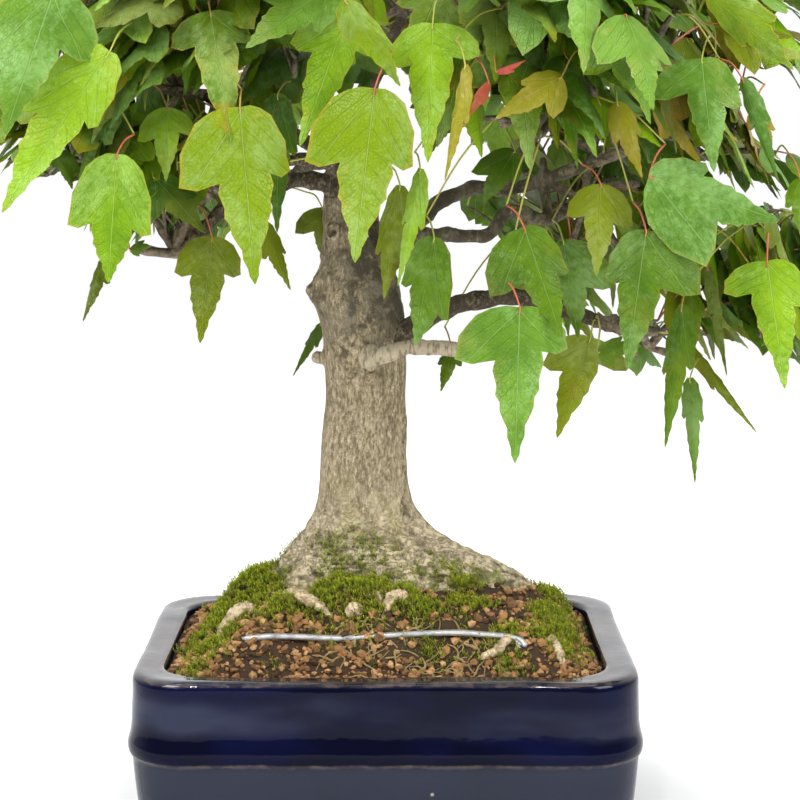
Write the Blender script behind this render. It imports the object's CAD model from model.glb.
"""Looks of a trident maple bonsai in a cobalt glazed pot, built round its CAD frame.

The pot is lofted and its feet cut, the soil is strewn with grains, moss and surface
roots, the trunk and boughs are fused and given bark, and each mass of the crown grows
from its bough's tip into the space of its solid, with twigs, stalks and toothed leaves.
"""

import logging
import random
from dataclasses import dataclass, field
from enum import Enum
from math import atan2, cos, exp, hypot, pi, radians, sin
from typing import Iterable, Sequence

import bpy
import numpy as np
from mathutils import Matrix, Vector
from mathutils.kdtree import KDTree


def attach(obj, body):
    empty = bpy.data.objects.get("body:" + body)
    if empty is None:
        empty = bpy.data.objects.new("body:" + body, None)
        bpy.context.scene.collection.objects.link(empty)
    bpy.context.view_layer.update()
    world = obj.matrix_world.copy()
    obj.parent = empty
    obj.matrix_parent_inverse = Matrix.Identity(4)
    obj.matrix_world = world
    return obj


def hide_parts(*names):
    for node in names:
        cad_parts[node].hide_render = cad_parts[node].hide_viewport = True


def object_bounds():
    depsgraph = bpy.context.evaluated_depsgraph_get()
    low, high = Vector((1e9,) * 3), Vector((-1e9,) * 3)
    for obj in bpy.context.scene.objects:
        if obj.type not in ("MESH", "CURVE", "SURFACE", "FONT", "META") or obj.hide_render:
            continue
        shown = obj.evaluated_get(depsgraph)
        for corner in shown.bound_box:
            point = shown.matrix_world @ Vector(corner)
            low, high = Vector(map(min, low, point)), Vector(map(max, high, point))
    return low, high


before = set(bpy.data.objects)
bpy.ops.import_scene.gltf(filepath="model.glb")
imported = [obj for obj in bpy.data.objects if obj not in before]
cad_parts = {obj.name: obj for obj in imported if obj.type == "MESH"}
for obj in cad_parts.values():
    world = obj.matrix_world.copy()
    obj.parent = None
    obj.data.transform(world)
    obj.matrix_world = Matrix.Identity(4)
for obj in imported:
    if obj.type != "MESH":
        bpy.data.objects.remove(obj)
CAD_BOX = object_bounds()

MM = 0.001
LOG = logging.getLogger("bonsai")
Point = Sequence[float]
Colour = tuple[float, float, float]
Mesh = tuple[list, list]
Array = np.ndarray
Piece = bpy.types.Object

EYE = np.array((5.5, -800.0, 273.0)) * MM
EYE_PITCH = 8.172
EYE_LENS = 94.0
EYE_SENSOR = 36.0
EYE_REACH = 2089.0  # pixels
VIEW_WIDTH = 800.0


# ---------------------------------------------------------------- shader arithmetic


class Wire:
    """A socket of a material, with arithmetic that adds Math nodes."""

    def __init__(self, tree: bpy.types.NodeTree, socket: bpy.types.NodeSocket):
        """Keep the tree and the socket."""
        self.tree = tree
        self.socket = socket

    def math(self, operation: str, *others: object, first: bool = True) -> "Wire":
        """Add one Math node.

        Args:
            operation: the node's operation.
            others: the other operands, as numbers or wires.
            first: whether this wire is the first operand.

        Returns:
            The node's result.
        """
        node = self.tree.nodes.new("ShaderNodeMath")
        node.operation = operation
        operands = [self, *others] if first else [*others, self]
        for place, operand in enumerate(operands):
            join(self.tree, operand, node.inputs[place])
        return Wire(self.tree, node.outputs[0])

    def __add__(self, other: object) -> "Wire":
        """Add."""
        return self.math("ADD", other)

    def __radd__(self, other: object) -> "Wire":
        """Add, reflected."""
        return self.math("ADD", other)

    def __sub__(self, other: object) -> "Wire":
        """Subtract."""
        return self.math("SUBTRACT", other)

    def __rsub__(self, other: object) -> "Wire":
        """Subtract, reflected."""
        return self.math("SUBTRACT", other, first=False)

    def __mul__(self, other: object) -> "Wire":
        """Multiply."""
        return self.math("MULTIPLY", other)

    def __rmul__(self, other: object) -> "Wire":
        """Multiply, reflected."""
        return self.math("MULTIPLY", other)

    def __truediv__(self, other: object) -> "Wire":
        """Divide."""
        return self.math("DIVIDE", other)

    def __pow__(self, other: object) -> "Wire":
        """Raise to a power."""
        return self.math("POWER", other)

    def size(self) -> "Wire":
        """Return the value without its sign."""
        return self.math("ABSOLUTE")

    def most(self, other: object) -> "Wire":
        """Return the larger of two values."""
        return self.math("MAXIMUM", other)

    def between(self, low: float, high: float) -> "Wire":
        """Return 0 below one value and 1 above another, smooth in between."""
        node = self.tree.nodes.new("ShaderNodeMapRange")
        node.interpolation_type = "SMOOTHSTEP"
        join(self.tree, self, node.inputs["Value"])
        node.inputs["From Min"].default_value = low
        node.inputs["From Max"].default_value = high
        return Wire(self.tree, node.outputs["Result"])


def join(tree: bpy.types.NodeTree, value: object, socket: bpy.types.NodeSocket) -> None:
    """Link a wire to a socket, or set the socket to a plain value.

    Args:
        tree: the material's nodes.
        value: a wire, a number, a colour or a vector.
        socket: the input that takes it.
    """
    if isinstance(value, Wire):
        tree.links.new(value.socket, socket)
    elif isinstance(value, (tuple, list)):
        wide = len(socket.default_value)
        socket.default_value = (*value, 1.0)[:wide] if wide > len(value) else tuple(value)
    else:
        socket.default_value = value


class Paint:
    """A material under construction: one way to add any node, and the common patterns."""

    def __init__(self, name: str, room: bpy.types.World | None = None):
        """Start a material with a Principled shader of that name, or paint a room's walls."""
        self.material = room or bpy.data.materials.new(name)
        self.material.use_nodes = True
        self.tree = self.material.node_tree
        self.colour: object = None
        self.shader = self.tree.nodes["Background" if room else "Principled BSDF"]

    def add(self, kind: str, output: str | int = 0, settings: dict | None = None, **values: object) -> Wire:
        """Add one node.

        Args:
            kind: the node's type, without its ShaderNode prefix.
            output: the output to return.
            settings: properties that are set first.
            values: socket values or wires; an underscore in a name stands for a space.

        Returns:
            The chosen output.
        """
        node = self.tree.nodes.new("ShaderNode" + kind)
        for name, value in (settings or {}).items():
            setattr(node, name, value)
        for name, value in values.items():
            join(self.tree, value, node.inputs[name.replace("_", " ")])
        return Wire(self.tree, node.outputs[output])

    def place(self) -> Wire:
        """Return the object's own coordinates."""
        return self.add("TexCoord", "Object")

    def stretch(self, vector: Wire, scale: Point) -> Wire:
        """Return a vector scaled along each axis."""
        return self.add("Mapping", Vector=vector, Scale=scale)

    def noise(self, vector: Wire, scale: float, detail: float, rough: float = 0.55) -> Wire:
        """Return layered noise, about 0 to 1."""
        return self.add("TexNoise", "Fac", Vector=vector, Scale=scale, Detail=detail, Roughness=rough)

    def cells(self, vector: Wire, scale: float, feature: str = "F1") -> Wire:
        """Return a cell pattern's distance."""
        return self.add("TexVoronoi", "Distance", {"feature": feature}, Vector=vector, Scale=scale)

    def axes(self, vector: Wire) -> tuple[Wire, Wire, Wire]:
        """Return a vector's three parts."""
        node = self.tree.nodes.new("ShaderNodeSeparateXYZ")
        join(self.tree, vector, node.inputs[0])
        return tuple(Wire(self.tree, out) for out in node.outputs)

    def mix(self, share: object, a: object, b: object) -> Wire:
        """Return two colours mixed by a share."""
        node = self.tree.nodes.new("ShaderNodeMix")
        node.data_type = "RGBA"
        join(self.tree, share, node.inputs["Factor"])
        join(self.tree, a, node.inputs[6])
        join(self.tree, b, node.inputs[7])
        return Wire(self.tree, node.outputs[2])

    def lay(self, share: object, colour: object) -> None:
        """Lay a colour over the present one by a share."""
        self.colour = self.mix(share, self.colour, colour)

    def attribute(self, name: str) -> Wire:
        """Return a value that the mesh carries."""
        return self.add("Attribute", "Fac", {"attribute_name": name})

    def bump(self, height: Wire, strength: float, distance: float) -> Wire:
        """Return a normal raised by a height in metres."""
        return self.add("Bump", Height=height, Strength=strength, Distance=distance)

    def finish(self, rough: object, normal: Wire | None = None, **fixed: object) -> bpy.types.Material:
        """Feed the shader with the present colour and the rest.

        Args:
            rough: the roughness.
            normal: the bumped normal.
            fixed: other sockets of the shader, as plain values.

        Returns:
            The finished material.
        """
        join(self.tree, self.colour, self.shader.inputs["Base Color"])
        join(self.tree, rough, self.shader.inputs["Roughness"])
        if normal is not None:
            join(self.tree, normal, self.shader.inputs["Normal"])
        for name, value in fixed.items():
            join(self.tree, value, self.shader.inputs[name.replace("_", " ")])
        return self.material


# ---------------------------------------------------------------- finishes


@dataclass(frozen=True)
class GlazeFinish:
    """Deep cobalt glaze that breaks to grey-brown where it runs thin."""

    rim_z: float
    ridge_z: float
    deep: Colour = (0.0008, 0.0012, 0.010)
    light: Colour = (0.0016, 0.0028, 0.024)
    thin: Colour = (0.120, 0.092, 0.078)
    haze: Colour = (0.022, 0.026, 0.052)
    below: Colour = (0.030, 0.034, 0.050)
    rubbed: Colour = (0.26, 0.29, 0.33)
    bare: Colour = (0.20, 0.11, 0.07)
    sand: Colour = (0.42, 0.37, 0.28)

    def material(self) -> bpy.types.Material:
        """Return the material."""
        paint = Paint("cobalt_glaze")
        place = paint.place()
        aside, _, height = paint.axes(place)
        pool = paint.noise(paint.stretch(place, (1, 1, 2.2)), 26, 3)
        streak = paint.noise(paint.stretch(place, (1, 1, 0.18)), 190, 3)
        wave = height + (paint.noise(paint.stretch(place, (1, 1, 0.2)), 17, 2) - 0.5) * (16 * MM)
        sheen = wave.between(43 * MM, 49 * MM) * wave.between(60 * MM, 53 * MM)
        paint.colour = paint.mix(pool.between(0.35, 0.72), self.deep, self.light)
        left = 0.75 + 0.75 * aside.between(10 * MM, -70 * MM)
        cloud = paint.noise(paint.stretch(place, (0.7, 1, 2.2)), 24, 3).between(0.30, 0.74)
        paint.lay(sheen * cloud * left, self.haze)
        rough_edge = paint.noise(place, 420, 4) * 0.0012 + paint.noise(place, 60, 2) * 0.0016
        level = height + rough_edge
        under = 1.0 - ((level - (self.ridge_z - 3.1 * MM)).size() / (1.25 * MM)).between(0.25, 1.0)
        lip = 1.0 - ((level - (self.rim_z + 0.9 * MM)).size() / (0.9 * MM)).between(0.35, 1.0)
        broken = paint.noise(place, 130, 5).between(0.40, 0.62)
        worn = (under * (0.35 + 0.65 * broken)).most(lip * (0.15 + 0.55 * broken))
        paint.lay(worn * 0.8, self.thin)
        low = (1.0 - height.between(self.ridge_z - 6 * MM, self.ridge_z - 3 * MM)) * (0.62 + 0.3 * pool)
        paint.lay(low, self.below)
        top = height.between(self.rim_z - 0.4 * MM, self.rim_z + 1.6 * MM)
        flank = aside.size().between(62 * MM, 86 * MM)
        paint.lay(top * (0.30 + 0.35 * pool + 0.25 * flank), self.rubbed)
        foot = 1.0 - height.between(1.0 * MM, 3.2 * MM)
        paint.lay(foot, self.bare)
        pits = paint.cells(place, 105)
        chosen = paint.noise(place, 34, 1).between(0.60, 0.66)
        speck = (1.0 - pits.between(0.045, 0.10)) * chosen
        paint.lay(speck * 0.8, self.sand)
        rough = 0.045 + 0.06 * streak.between(0.3, 0.8) + low * 0.16 + worn * 0.30 + foot * 0.5 + speck * 0.3
        relief = pool * 0.55 + streak * 0.10 - speck * 0.25 - worn * 0.10
        normal = paint.bump(relief, 0.55, 1.6 * MM)
        coat = height.between(self.rim_z - 2.2 * MM, self.rim_z - 0.6 * MM)
        return paint.finish(rough, normal, Specular_IOR_Level=0.10, Coat_Weight=coat, Coat_Roughness=0.04)


@dataclass(frozen=True)
class GrainFinish:
    """Baked clay grains and humus, each grain of its own shade."""

    name: str = "clay_grains"
    dark: Colour = (0.045, 0.026, 0.010)
    warm: Colour = (0.400, 0.200, 0.070)
    pale: Colour = (0.720, 0.455, 0.215)
    coarse: float = 900.0

    def material(self) -> bpy.types.Material:
        """Return the material."""
        paint = Paint(self.name)
        place = paint.place()
        tone = paint.attribute("tone")
        fine = paint.noise(place, self.coarse, 6, 0.7)
        paint.colour = paint.mix(tone.between(0.0, 0.75), self.dark, self.warm)
        paint.lay((tone + fine * 0.5).between(0.95, 1.45), self.pale)
        paint.lay(fine.between(0.55, 0.30) * 0.55, self.dark)
        return paint.finish(0.86 + 0.12 * fine, paint.bump(fine, 0.9, 0.5 * MM))


@dataclass(frozen=True)
class MossFinish:
    """Moss shoots, dark at the root and bright at the tip."""

    name: str = "moss_shoots"
    root: Colour = (0.050, 0.055, 0.008)
    leaf: Colour = (0.265, 0.325, 0.006)
    tip: Colour = (0.760, 0.790, 0.050)
    dry: Colour = (0.26, 0.22, 0.05)

    def material(self) -> bpy.types.Material:
        """Return the material."""
        paint = Paint(self.name)
        place = paint.place()
        tone = paint.attribute("tone")
        patch = paint.noise(place, 95, 3)
        paint.colour = paint.mix(tone.between(0.05, 0.55), self.root, self.leaf)
        paint.lay((tone - 0.25 + patch * 0.5).between(0.55, 1.1), self.tip)
        paint.lay(patch.between(0.55, 0.72) * 0.55, self.dry)
        return paint.finish(0.55 + 0.3 * patch, paint.bump(paint.noise(place, 1500, 3), 0.5, 0.3 * MM))


@dataclass(frozen=True)
class BarkFinish:
    """Grey-beige bark: fine upright grain, dark patches, creased cream flare, moss at its foot."""

    pale: Colour = (0.435, 0.358, 0.226)
    mid: Colour = (0.290, 0.234, 0.140)
    dark: Colour = (0.120, 0.092, 0.048)
    grey: Colour = (0.190, 0.165, 0.110)
    cream: Colour = (0.700, 0.590, 0.395)
    dirty: Colour = (0.050, 0.043, 0.026)
    algae: Colour = (0.42, 0.40, 0.13)
    shaded: Colour = (0.060, 0.045, 0.029)
    bleached: Colour = (0.62, 0.53, 0.37)
    ringed: Colour = (0.10, 0.075, 0.05)
    creased: Colour = (0.050, 0.034, 0.021)
    green: Colour = (0.17, 0.20, 0.030)
    wrinkled: Colour = (0.150, 0.120, 0.055)

    def material(self) -> bpy.types.Material:
        """Return the material."""
        paint = Paint("maple_bark")
        place = paint.place()
        aside, _, height = paint.axes(place)
        tone = paint.attribute("tone")
        crease = paint.attribute("crease")
        limb = paint.attribute("limb")
        low = 1.0 - height.between(100 * MM, 140 * MM)
        upright = paint.stretch(place, (1.0, 1.0, 0.42))
        grain = paint.noise(upright, 820, 7, 0.74)
        broad = paint.noise(upright, 95, 4)
        fine = paint.noise(place, 1300, 5, 0.7)
        paint.colour = paint.mix(broad.between(0.34, 0.66), self.mid, self.pale)
        paint.lay(grain.between(0.51, 0.41) * (0.78 - 0.35 * low), self.dark)
        paint.lay(grain.between(0.53, 0.62) * 0.75, self.cream)
        paint.lay(fine.between(0.48, 0.40) * 0.45, self.dark)
        high = height.between(168 * MM, 196 * MM) * (0.45 + 0.55 * aside.between(-19 * MM, -11 * MM))
        patch = (paint.noise(place, 62, 5, 0.6) + high * 0.20).between(0.52, 0.68)
        paint.lay(patch * (0.22 + 0.66 * high), self.grey)
        dirt = (paint.noise(place, 130, 7, 0.75) + high * 0.13).between(0.56, 0.68)
        paint.lay(dirt * (0.15 + 0.60 * high), self.dirty)
        blotch = (paint.noise(place, 170, 5, 0.65) + low * 0.12).between(0.46, 0.64)
        paint.lay(blotch * low * 0.75, self.cream)
        stain = paint.noise(place, 45, 4, 0.6).between(0.52, 0.66) * low
        paint.lay(stain * 0.45, self.algae)
        shade = (1.0 - tone).between(0.15, 0.85) * (0.45 + 0.9 * grain.between(0.58, 0.44))
        paint.lay(shade, self.shaded)
        paint.lay((tone - 1.0).between(0.0, 0.8) * 0.7, self.bleached)
        rings = paint.noise(paint.stretch(place, (2.4, 0.7, 0.7)), 300, 4, 0.6).between(0.50, 0.60) * limb
        paint.lay(rings * 0.6, self.ringed)
        paint.lay(crease.between(0.15, 0.95) * 0.7, self.creased)
        green = paint.noise(place, 75, 5, 0.7) + (1.0 - height.between(84 * MM, 108 * MM)) * 0.20
        mossy = green.between(0.66, 0.76) * (1.0 - height.between(100 * MM, 122 * MM))
        paint.lay(mossy * 0.75, self.green)
        wrinkles = paint.noise(paint.stretch(place, (1.0, 1.0, 1.8)), 210, 6, 0.7)
        fold = (wrinkles - 0.5).size().between(0.045, 0.0)
        paint.lay(fold * low * 0.50, self.wrinkled)
        relief = (grain * 0.7 + fine * 0.4) * (1.0 - 0.55 * low) + blotch * low * 0.3
        relief = relief - crease * 0.8 - fold * low * 0.25
        rough = 0.70 + 0.22 * grain + 0.08 * fine
        return paint.finish(rough, paint.bump(relief, 1.0, 1.1 * MM), Specular_IOR_Level=0.25)


@dataclass(frozen=True)
class WoodFinish:
    """Thin bark of twigs and surface roots."""

    name: str
    dark: Colour
    light: Colour
    scale: float
    weathered: Colour = (0.230, 0.165, 0.040)

    def material(self) -> bpy.types.Material:
        """Return the material."""
        paint = Paint(self.name)
        place = paint.place()
        blotch = paint.noise(place, self.scale, 5, 0.65)
        fine = paint.noise(place, self.scale * 4, 4, 0.7)
        paint.colour = paint.mix((blotch + fine * 0.3).between(0.45, 0.85), self.dark, self.light)
        paint.lay(paint.attribute("tone") * 0.8, self.weathered)
        relief = blotch + fine * 0.4
        return paint.finish(0.6 + 0.35 * fine, paint.bump(relief, 0.8, 0.45 * MM))


@dataclass(frozen=True)
class StalkFinish:
    """Leaf stalks that turn from yellow-green to red."""

    green: Colour = (0.40, 0.44, 0.070)
    red: Colour = (0.52, 0.130, 0.060)

    def material(self) -> bpy.types.Material:
        """Return the material."""
        paint = Paint("leaf_stalks")
        place = paint.place()
        tone = paint.attribute("tone")
        fine = paint.noise(place, 800, 3)
        paint.colour = paint.mix((tone + (fine - 0.5) * 0.5).between(0.25, 0.75), self.green, self.red)
        return paint.finish(0.35 + 0.2 * fine, paint.bump(fine, 0.3, 0.2 * MM))


@dataclass(frozen=True)
class WireFinish:
    """Aged tie wire: bright metal under a dark patina."""

    bright: Colour = (0.58, 0.58, 0.57)
    dull: Colour = (0.13, 0.135, 0.14)

    def material(self) -> bpy.types.Material:
        """Return the material."""
        paint = Paint("aged_wire")
        place = paint.place()
        patina = paint.noise(paint.stretch(place, (0.5, 1, 1)), 210, 5, 0.7).between(0.47, 0.72)
        scratch = paint.noise(place, 1600, 3)
        paint.colour = paint.mix(patina, self.bright, self.dull)
        rough = 0.34 + patina * 0.35 + scratch * 0.1
        return paint.finish(rough, paint.bump(patina + scratch * 0.3, 0.6, 0.3 * MM), Metallic=0.75)


class Tint(Enum):
    """The colours a spray of leaves can have: blade, its deeper shade, its edge."""

    FRESH = ((0.240, 0.410, 0.007), (0.095, 0.225, 0.002), (0.420, 0.350, 0.030))
    DEEP = ((0.120, 0.228, 0.003), (0.046, 0.114, 0.002), (0.200, 0.210, 0.014))
    GREY = ((0.156, 0.306, 0.024), (0.070, 0.174, 0.008), (0.300, 0.340, 0.070))
    OLIVE = ((0.204, 0.258, 0.003), (0.090, 0.138, 0.002), (0.300, 0.180, 0.022))
    YELLOW = ((0.180, 0.280, 0.002), (0.085, 0.165, 0.001), (0.48, 0.31, 0.030))
    BRONZE = ((0.396, 0.282, 0.019), (0.264, 0.270, 0.008), (0.520, 0.165, 0.050))
    YOUNG = ((0.560, 0.070, 0.042), (0.340, 0.130, 0.024), (0.60, 0.22, 0.060))


@dataclass(frozen=True)
class LeafFinish:
    """A glossy maple blade: pale veins, fine net, mottling and a thin dry edge."""

    tint: Tint

    def material(self) -> bpy.types.Material:
        """Return the material."""
        blade, shade, edge = self.tint.value
        paint = Paint("leaf_" + self.tint.name.lower())
        place = paint.place()
        uv = paint.add("UVMap", 0, {"uv_map": "blade"})
        across, along, _ = paint.axes(uv)
        tone = paint.attribute("tone")
        rim = paint.attribute("rim")
        side = (across - 0.5).size()
        fork = (side * 0.80 - (along - 0.03) * 0.60).size()
        near = side.between(0.37, 0.33) * along.between(0.50, 0.42)
        width = 0.010 - along * 0.006
        middle = 1.0 - (side / width).between(0.35, 1.0)
        lateral = (1.0 - (fork / 0.0065).between(0.35, 1.0)) * near
        ribs = ((along - side * 0.85) * 9.0).math("PINGPONG", 0.5)
        rib = (1.0 - (ribs / 0.055).between(0.3, 1.0)) * 0.55 * side.between(0.004, 0.02)
        net = 1.0 - paint.cells(uv, 44, "DISTANCE_TO_EDGE").between(0.0, 0.085)
        vein = middle.most(lateral)
        mottle = paint.noise(place, 85, 4, 0.6)
        grain = paint.noise(place, 420, 4, 0.6)
        paint.colour = paint.mix((mottle * 0.75 + tone * 0.5).between(0.35, 0.85), shade, blade)
        warm = (paint.noise(place, 48, 3) + along * 0.10 + rim * 0.05).between(0.62, 0.80)
        paint.lay(warm * 0.50, edge)
        paint.lay((net * 0.15).most(rib * 0.42), shade)
        pale = tuple(min(1.0, c * 1.30 + 0.085) for c in blade)
        dusty = tuple(c * 1.25 + extra for c, extra in zip(blade, (0.065, 0.080, 0.110)))
        bloom = paint.noise(place, 38, 2) * 0.62 + grain * 0.38
        paint.lay(bloom.between(0.45, 0.66) * 0.62, dusty)
        paint.lay(vein * 0.48, pale)
        drops = paint.cells(place, 390) + paint.noise(place, 900, 3) * 0.6
        spotted = paint.noise(place, 70, 2).between(0.56, 0.68)
        ring = (1.0 - ((drops - 0.58).size() / 0.13).between(0.1, 1.0)) * spotted
        paint.lay(ring * 0.35, dusty)
        paint.lay(rim.between(0.90, 1.0) * 0.45, edge)
        rough = 0.24 + 0.22 * grain + 0.10 * net - ring * 0.10
        relief = mottle * 0.7 - vein * 0.7 - rib * 0.5 - net * 0.22 + grain * 0.12 + ring * 0.12
        return paint.finish(rough, paint.bump(relief, 0.8, 0.85 * MM), Specular_IOR_Level=0.20)


# ---------------------------------------------------------------- shapes in general


class Relief:
    """Smooth random relief, the same for the same seed."""

    def __init__(self, seed: int):
        """Fill the table of random heights."""
        self.table = np.random.default_rng(seed).uniform(-1.0, 1.0, (32, 32, 32))

    def at(self, points: Array, size: float | Point) -> Array:
        """Return the relief at some points.

        Args:
            points: the points, one a row.
            size: the width of a bump, for all axes or each.

        Returns:
            Heights between -1 and 1.
        """
        spot = points / np.asarray(size) + 7.3
        cell = np.floor(spot).astype(int)
        part = spot - cell
        part = part * part * (3.0 - 2.0 * part)
        total = np.zeros(len(spot))
        for dx in (0, 1):
            for dy in (0, 1):
                for dz in (0, 1):
                    weight = np.where(dx, part[:, 0], 1 - part[:, 0])
                    weight = weight * np.where(dy, part[:, 1], 1 - part[:, 1])
                    weight = weight * np.where(dz, part[:, 2], 1 - part[:, 2])
                    corner = (cell + (dx, dy, dz)) % 32
                    total += weight * self.table[corner[:, 0], corner[:, 1], corner[:, 2]]
        return total

    def layered(self, points: Array, size: float | Point, layers: int) -> Array:
        """Return relief of several sizes, each half the last."""
        sizes = np.asarray(size, dtype=float)
        return sum(self.at(points + 0.37 * k, sizes / 2**k) * 0.5**k for k in range(layers))


def spline(points: Iterable[Point], count: int) -> Array:
    """Return evenly numbered points on a Catmull-Rom curve through some points."""
    points = [np.array(p, dtype=float) for p in points]
    padded = [2 * points[0] - points[1]] + points + [2 * points[-1] - points[-2]]
    result = []
    for step in range(count):
        place = step / (count - 1) * (len(points) - 1)
        index = min(int(place), len(points) - 2)
        t = place - index
        a, b, c, d = padded[index:index + 4]
        result.append(
            0.5 * (2 * b + (c - a) * t + (2 * a - 5 * b + 4 * c - d) * t**2
                   + (3 * b - a - 3 * c + d) * t**3)
        )
    return np.array(result)


def unit(vector: Array) -> Array:
    """Return a vector of length one."""
    return vector / (np.linalg.norm(vector) + 1e-12)


def loft(rings: int, sides: int) -> list[tuple]:
    """Return the faces between rings of vertices, with a cap at each end."""
    faces = [tuple(reversed(range(sides)))]
    for low in range(0, (rings - 1) * sides, sides):
        for corner in range(sides):
            ahead = (corner + 1) % sides
            faces.append((low + corner, low + ahead, low + sides + ahead, low + sides + corner))
    faces.append(tuple(range((rings - 1) * sides, rings * sides)))
    return faces


def tube(points: Array, radii: Sequence[float], sides: int, roll: float = 0.0) -> Mesh:
    """Return vertices and faces of a capped tube along some points."""
    vertices = []
    side = None
    last = len(points) - 1
    for index, point in enumerate(points):
        along = unit(points[min(index + 1, last)] - points[max(index - 1, 0)])
        if side is None:
            side = unit(np.cross(along, (0.31, 0.62, 0.72)))
            side = side * cos(roll) + np.cross(along, side) * sin(roll)
        side = unit(side - along * np.dot(side, along))
        other = np.cross(along, side)
        for corner in range(sides):
            angle = 2 * pi * corner / sides
            vertices.append(point + (side * cos(angle) + other * sin(angle)) * radii[index])
    return vertices, loft(len(points), sides)


def flat_frame(turn: float) -> tuple[Array, Array]:
    """Return the level directions along a bearing and to its left."""
    return (np.array((cos(turn), sin(turn), 0.0)),
            np.array((-sin(turn), cos(turn), 0.0)))


def nearest(points: Sequence[Point]) -> KDTree:
    """Return a tree that finds the nearest of some points."""
    tree = KDTree(len(points))
    for index, point in enumerate(points):
        tree.insert(point, index)
    tree.balance()
    return tree


class Heap:
    """Many small shapes gathered into one mesh, each vertex with its values."""

    def __init__(self) -> None:
        """Start empty."""
        self.vertices: list[Array] = []
        self.faces: list[tuple] = []
        self.values: dict[str, list] = {}
        self.blades: list[Array] = []
        self.count = 0

    def put(
        self, vertices: object, faces: Iterable[tuple], blade: Array | None = None, **values: object
    ) -> None:
        """Add one shape.

        Args:
            vertices: its points.
            faces: its faces, counted from its own first vertex.
            blade: its flat coordinates, where a pattern follows the surface.
            values: one number for all its points, or one for each.
        """
        vertices = np.asarray(vertices, dtype=float)
        self.vertices.append(vertices)
        self.faces += [tuple(i + self.count for i in face) for face in faces]
        if blade is not None:
            self.blades.append(blade)
        for name, value in values.items():
            self.values.setdefault(name, []).append(np.broadcast_to(value, len(vertices)))
        self.count += len(vertices)

    def mesh_object(self, name: str, material: bpy.types.Material) -> Piece:
        """Return the gathered shapes as one object with its material."""
        mesh = bpy.data.meshes.new(name)
        mesh.from_pydata(np.concatenate(self.vertices).tolist(), [], self.faces)
        for key, parts in self.values.items():
            layer = mesh.attributes.new(key, "FLOAT", "POINT")
            layer.data.foreach_set("value", np.concatenate(parts).astype(np.float32))
        if self.blades:
            flat = np.concatenate(self.blades)
            corners = np.empty(len(mesh.loops), dtype=np.int32)
            mesh.loops.foreach_get("vertex_index", corners)
            layer = mesh.uv_layers.new(name="blade")
            layer.data.foreach_set("uv", flat[corners].astype(np.float32).ravel())
        mesh.materials.append(material)
        mesh.shade_smooth()
        item = bpy.data.objects.new(name, mesh)
        bpy.context.scene.collection.objects.link(item)
        return item


def only(item: Piece | None = None) -> None:
    """Select one object alone and make it active, or select nothing."""
    if bpy.context.object and bpy.context.object.mode != "OBJECT":
        bpy.ops.object.mode_set(mode="OBJECT")
    bpy.ops.object.select_all(action="DESELECT")
    if item:
        item.select_set(True)
        bpy.context.view_layer.objects.active = item


def apply_modifier(item: Piece, kind: str, **settings: object) -> None:
    """Add one modifier to an object and apply it."""
    only(item)
    modifier = item.modifiers.new(kind.lower(), kind)
    for name, value in settings.items():
        setattr(modifier, name, value)
    bpy.ops.object.modifier_apply(modifier=modifier.name)


def points_of(item: Piece) -> Array:
    """Return an object's vertices."""
    flat = np.empty(len(item.data.vertices) * 3)
    item.data.vertices.foreach_get("co", flat)
    return flat.reshape(-1, 3)


def normals_of(item: Piece) -> Array:
    """Return an object's vertex normals."""
    flat = np.empty(len(item.data.vertices) * 3, dtype=np.float32)
    item.data.vertex_normals.foreach_get("vector", flat)
    return flat.reshape(-1, 3).astype(float)


def set_points(item: Piece, points: Array) -> None:
    """Move an object's vertices."""
    item.data.vertices.foreach_set("co", points.ravel())
    item.data.update()


def set_value(item: Piece, name: str, values: Array) -> None:
    """Write one number a vertex."""
    layer = item.data.attributes.new(name, "FLOAT", "POINT")
    layer.data.foreach_set("value", values.astype(np.float32))


def hump(distance: Array, width: float) -> Array:
    """Return a soft bump, 1 at no distance."""
    return np.exp(-((distance / width) ** 2))


def in_view(points: Array) -> Array:
    """Return where points fall in the eye's view, in pixels."""
    pitch = radians(EYE_PITCH)
    ahead = np.array((0.0, cos(pitch), -sin(pitch)))
    upward = np.array((0.0, sin(pitch), cos(pitch)))
    away = np.atleast_2d(points) - EYE
    depth = away @ ahead
    reach = EYE_LENS / EYE_SENSOR * VIEW_WIDTH
    across = VIEW_WIDTH / 2 + reach * away[:, 0] / depth
    down = VIEW_WIDTH / 2 - reach * (away @ upward) / depth
    return np.stack((across, down), 1)


# ---------------------------------------------------------------- pot


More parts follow.
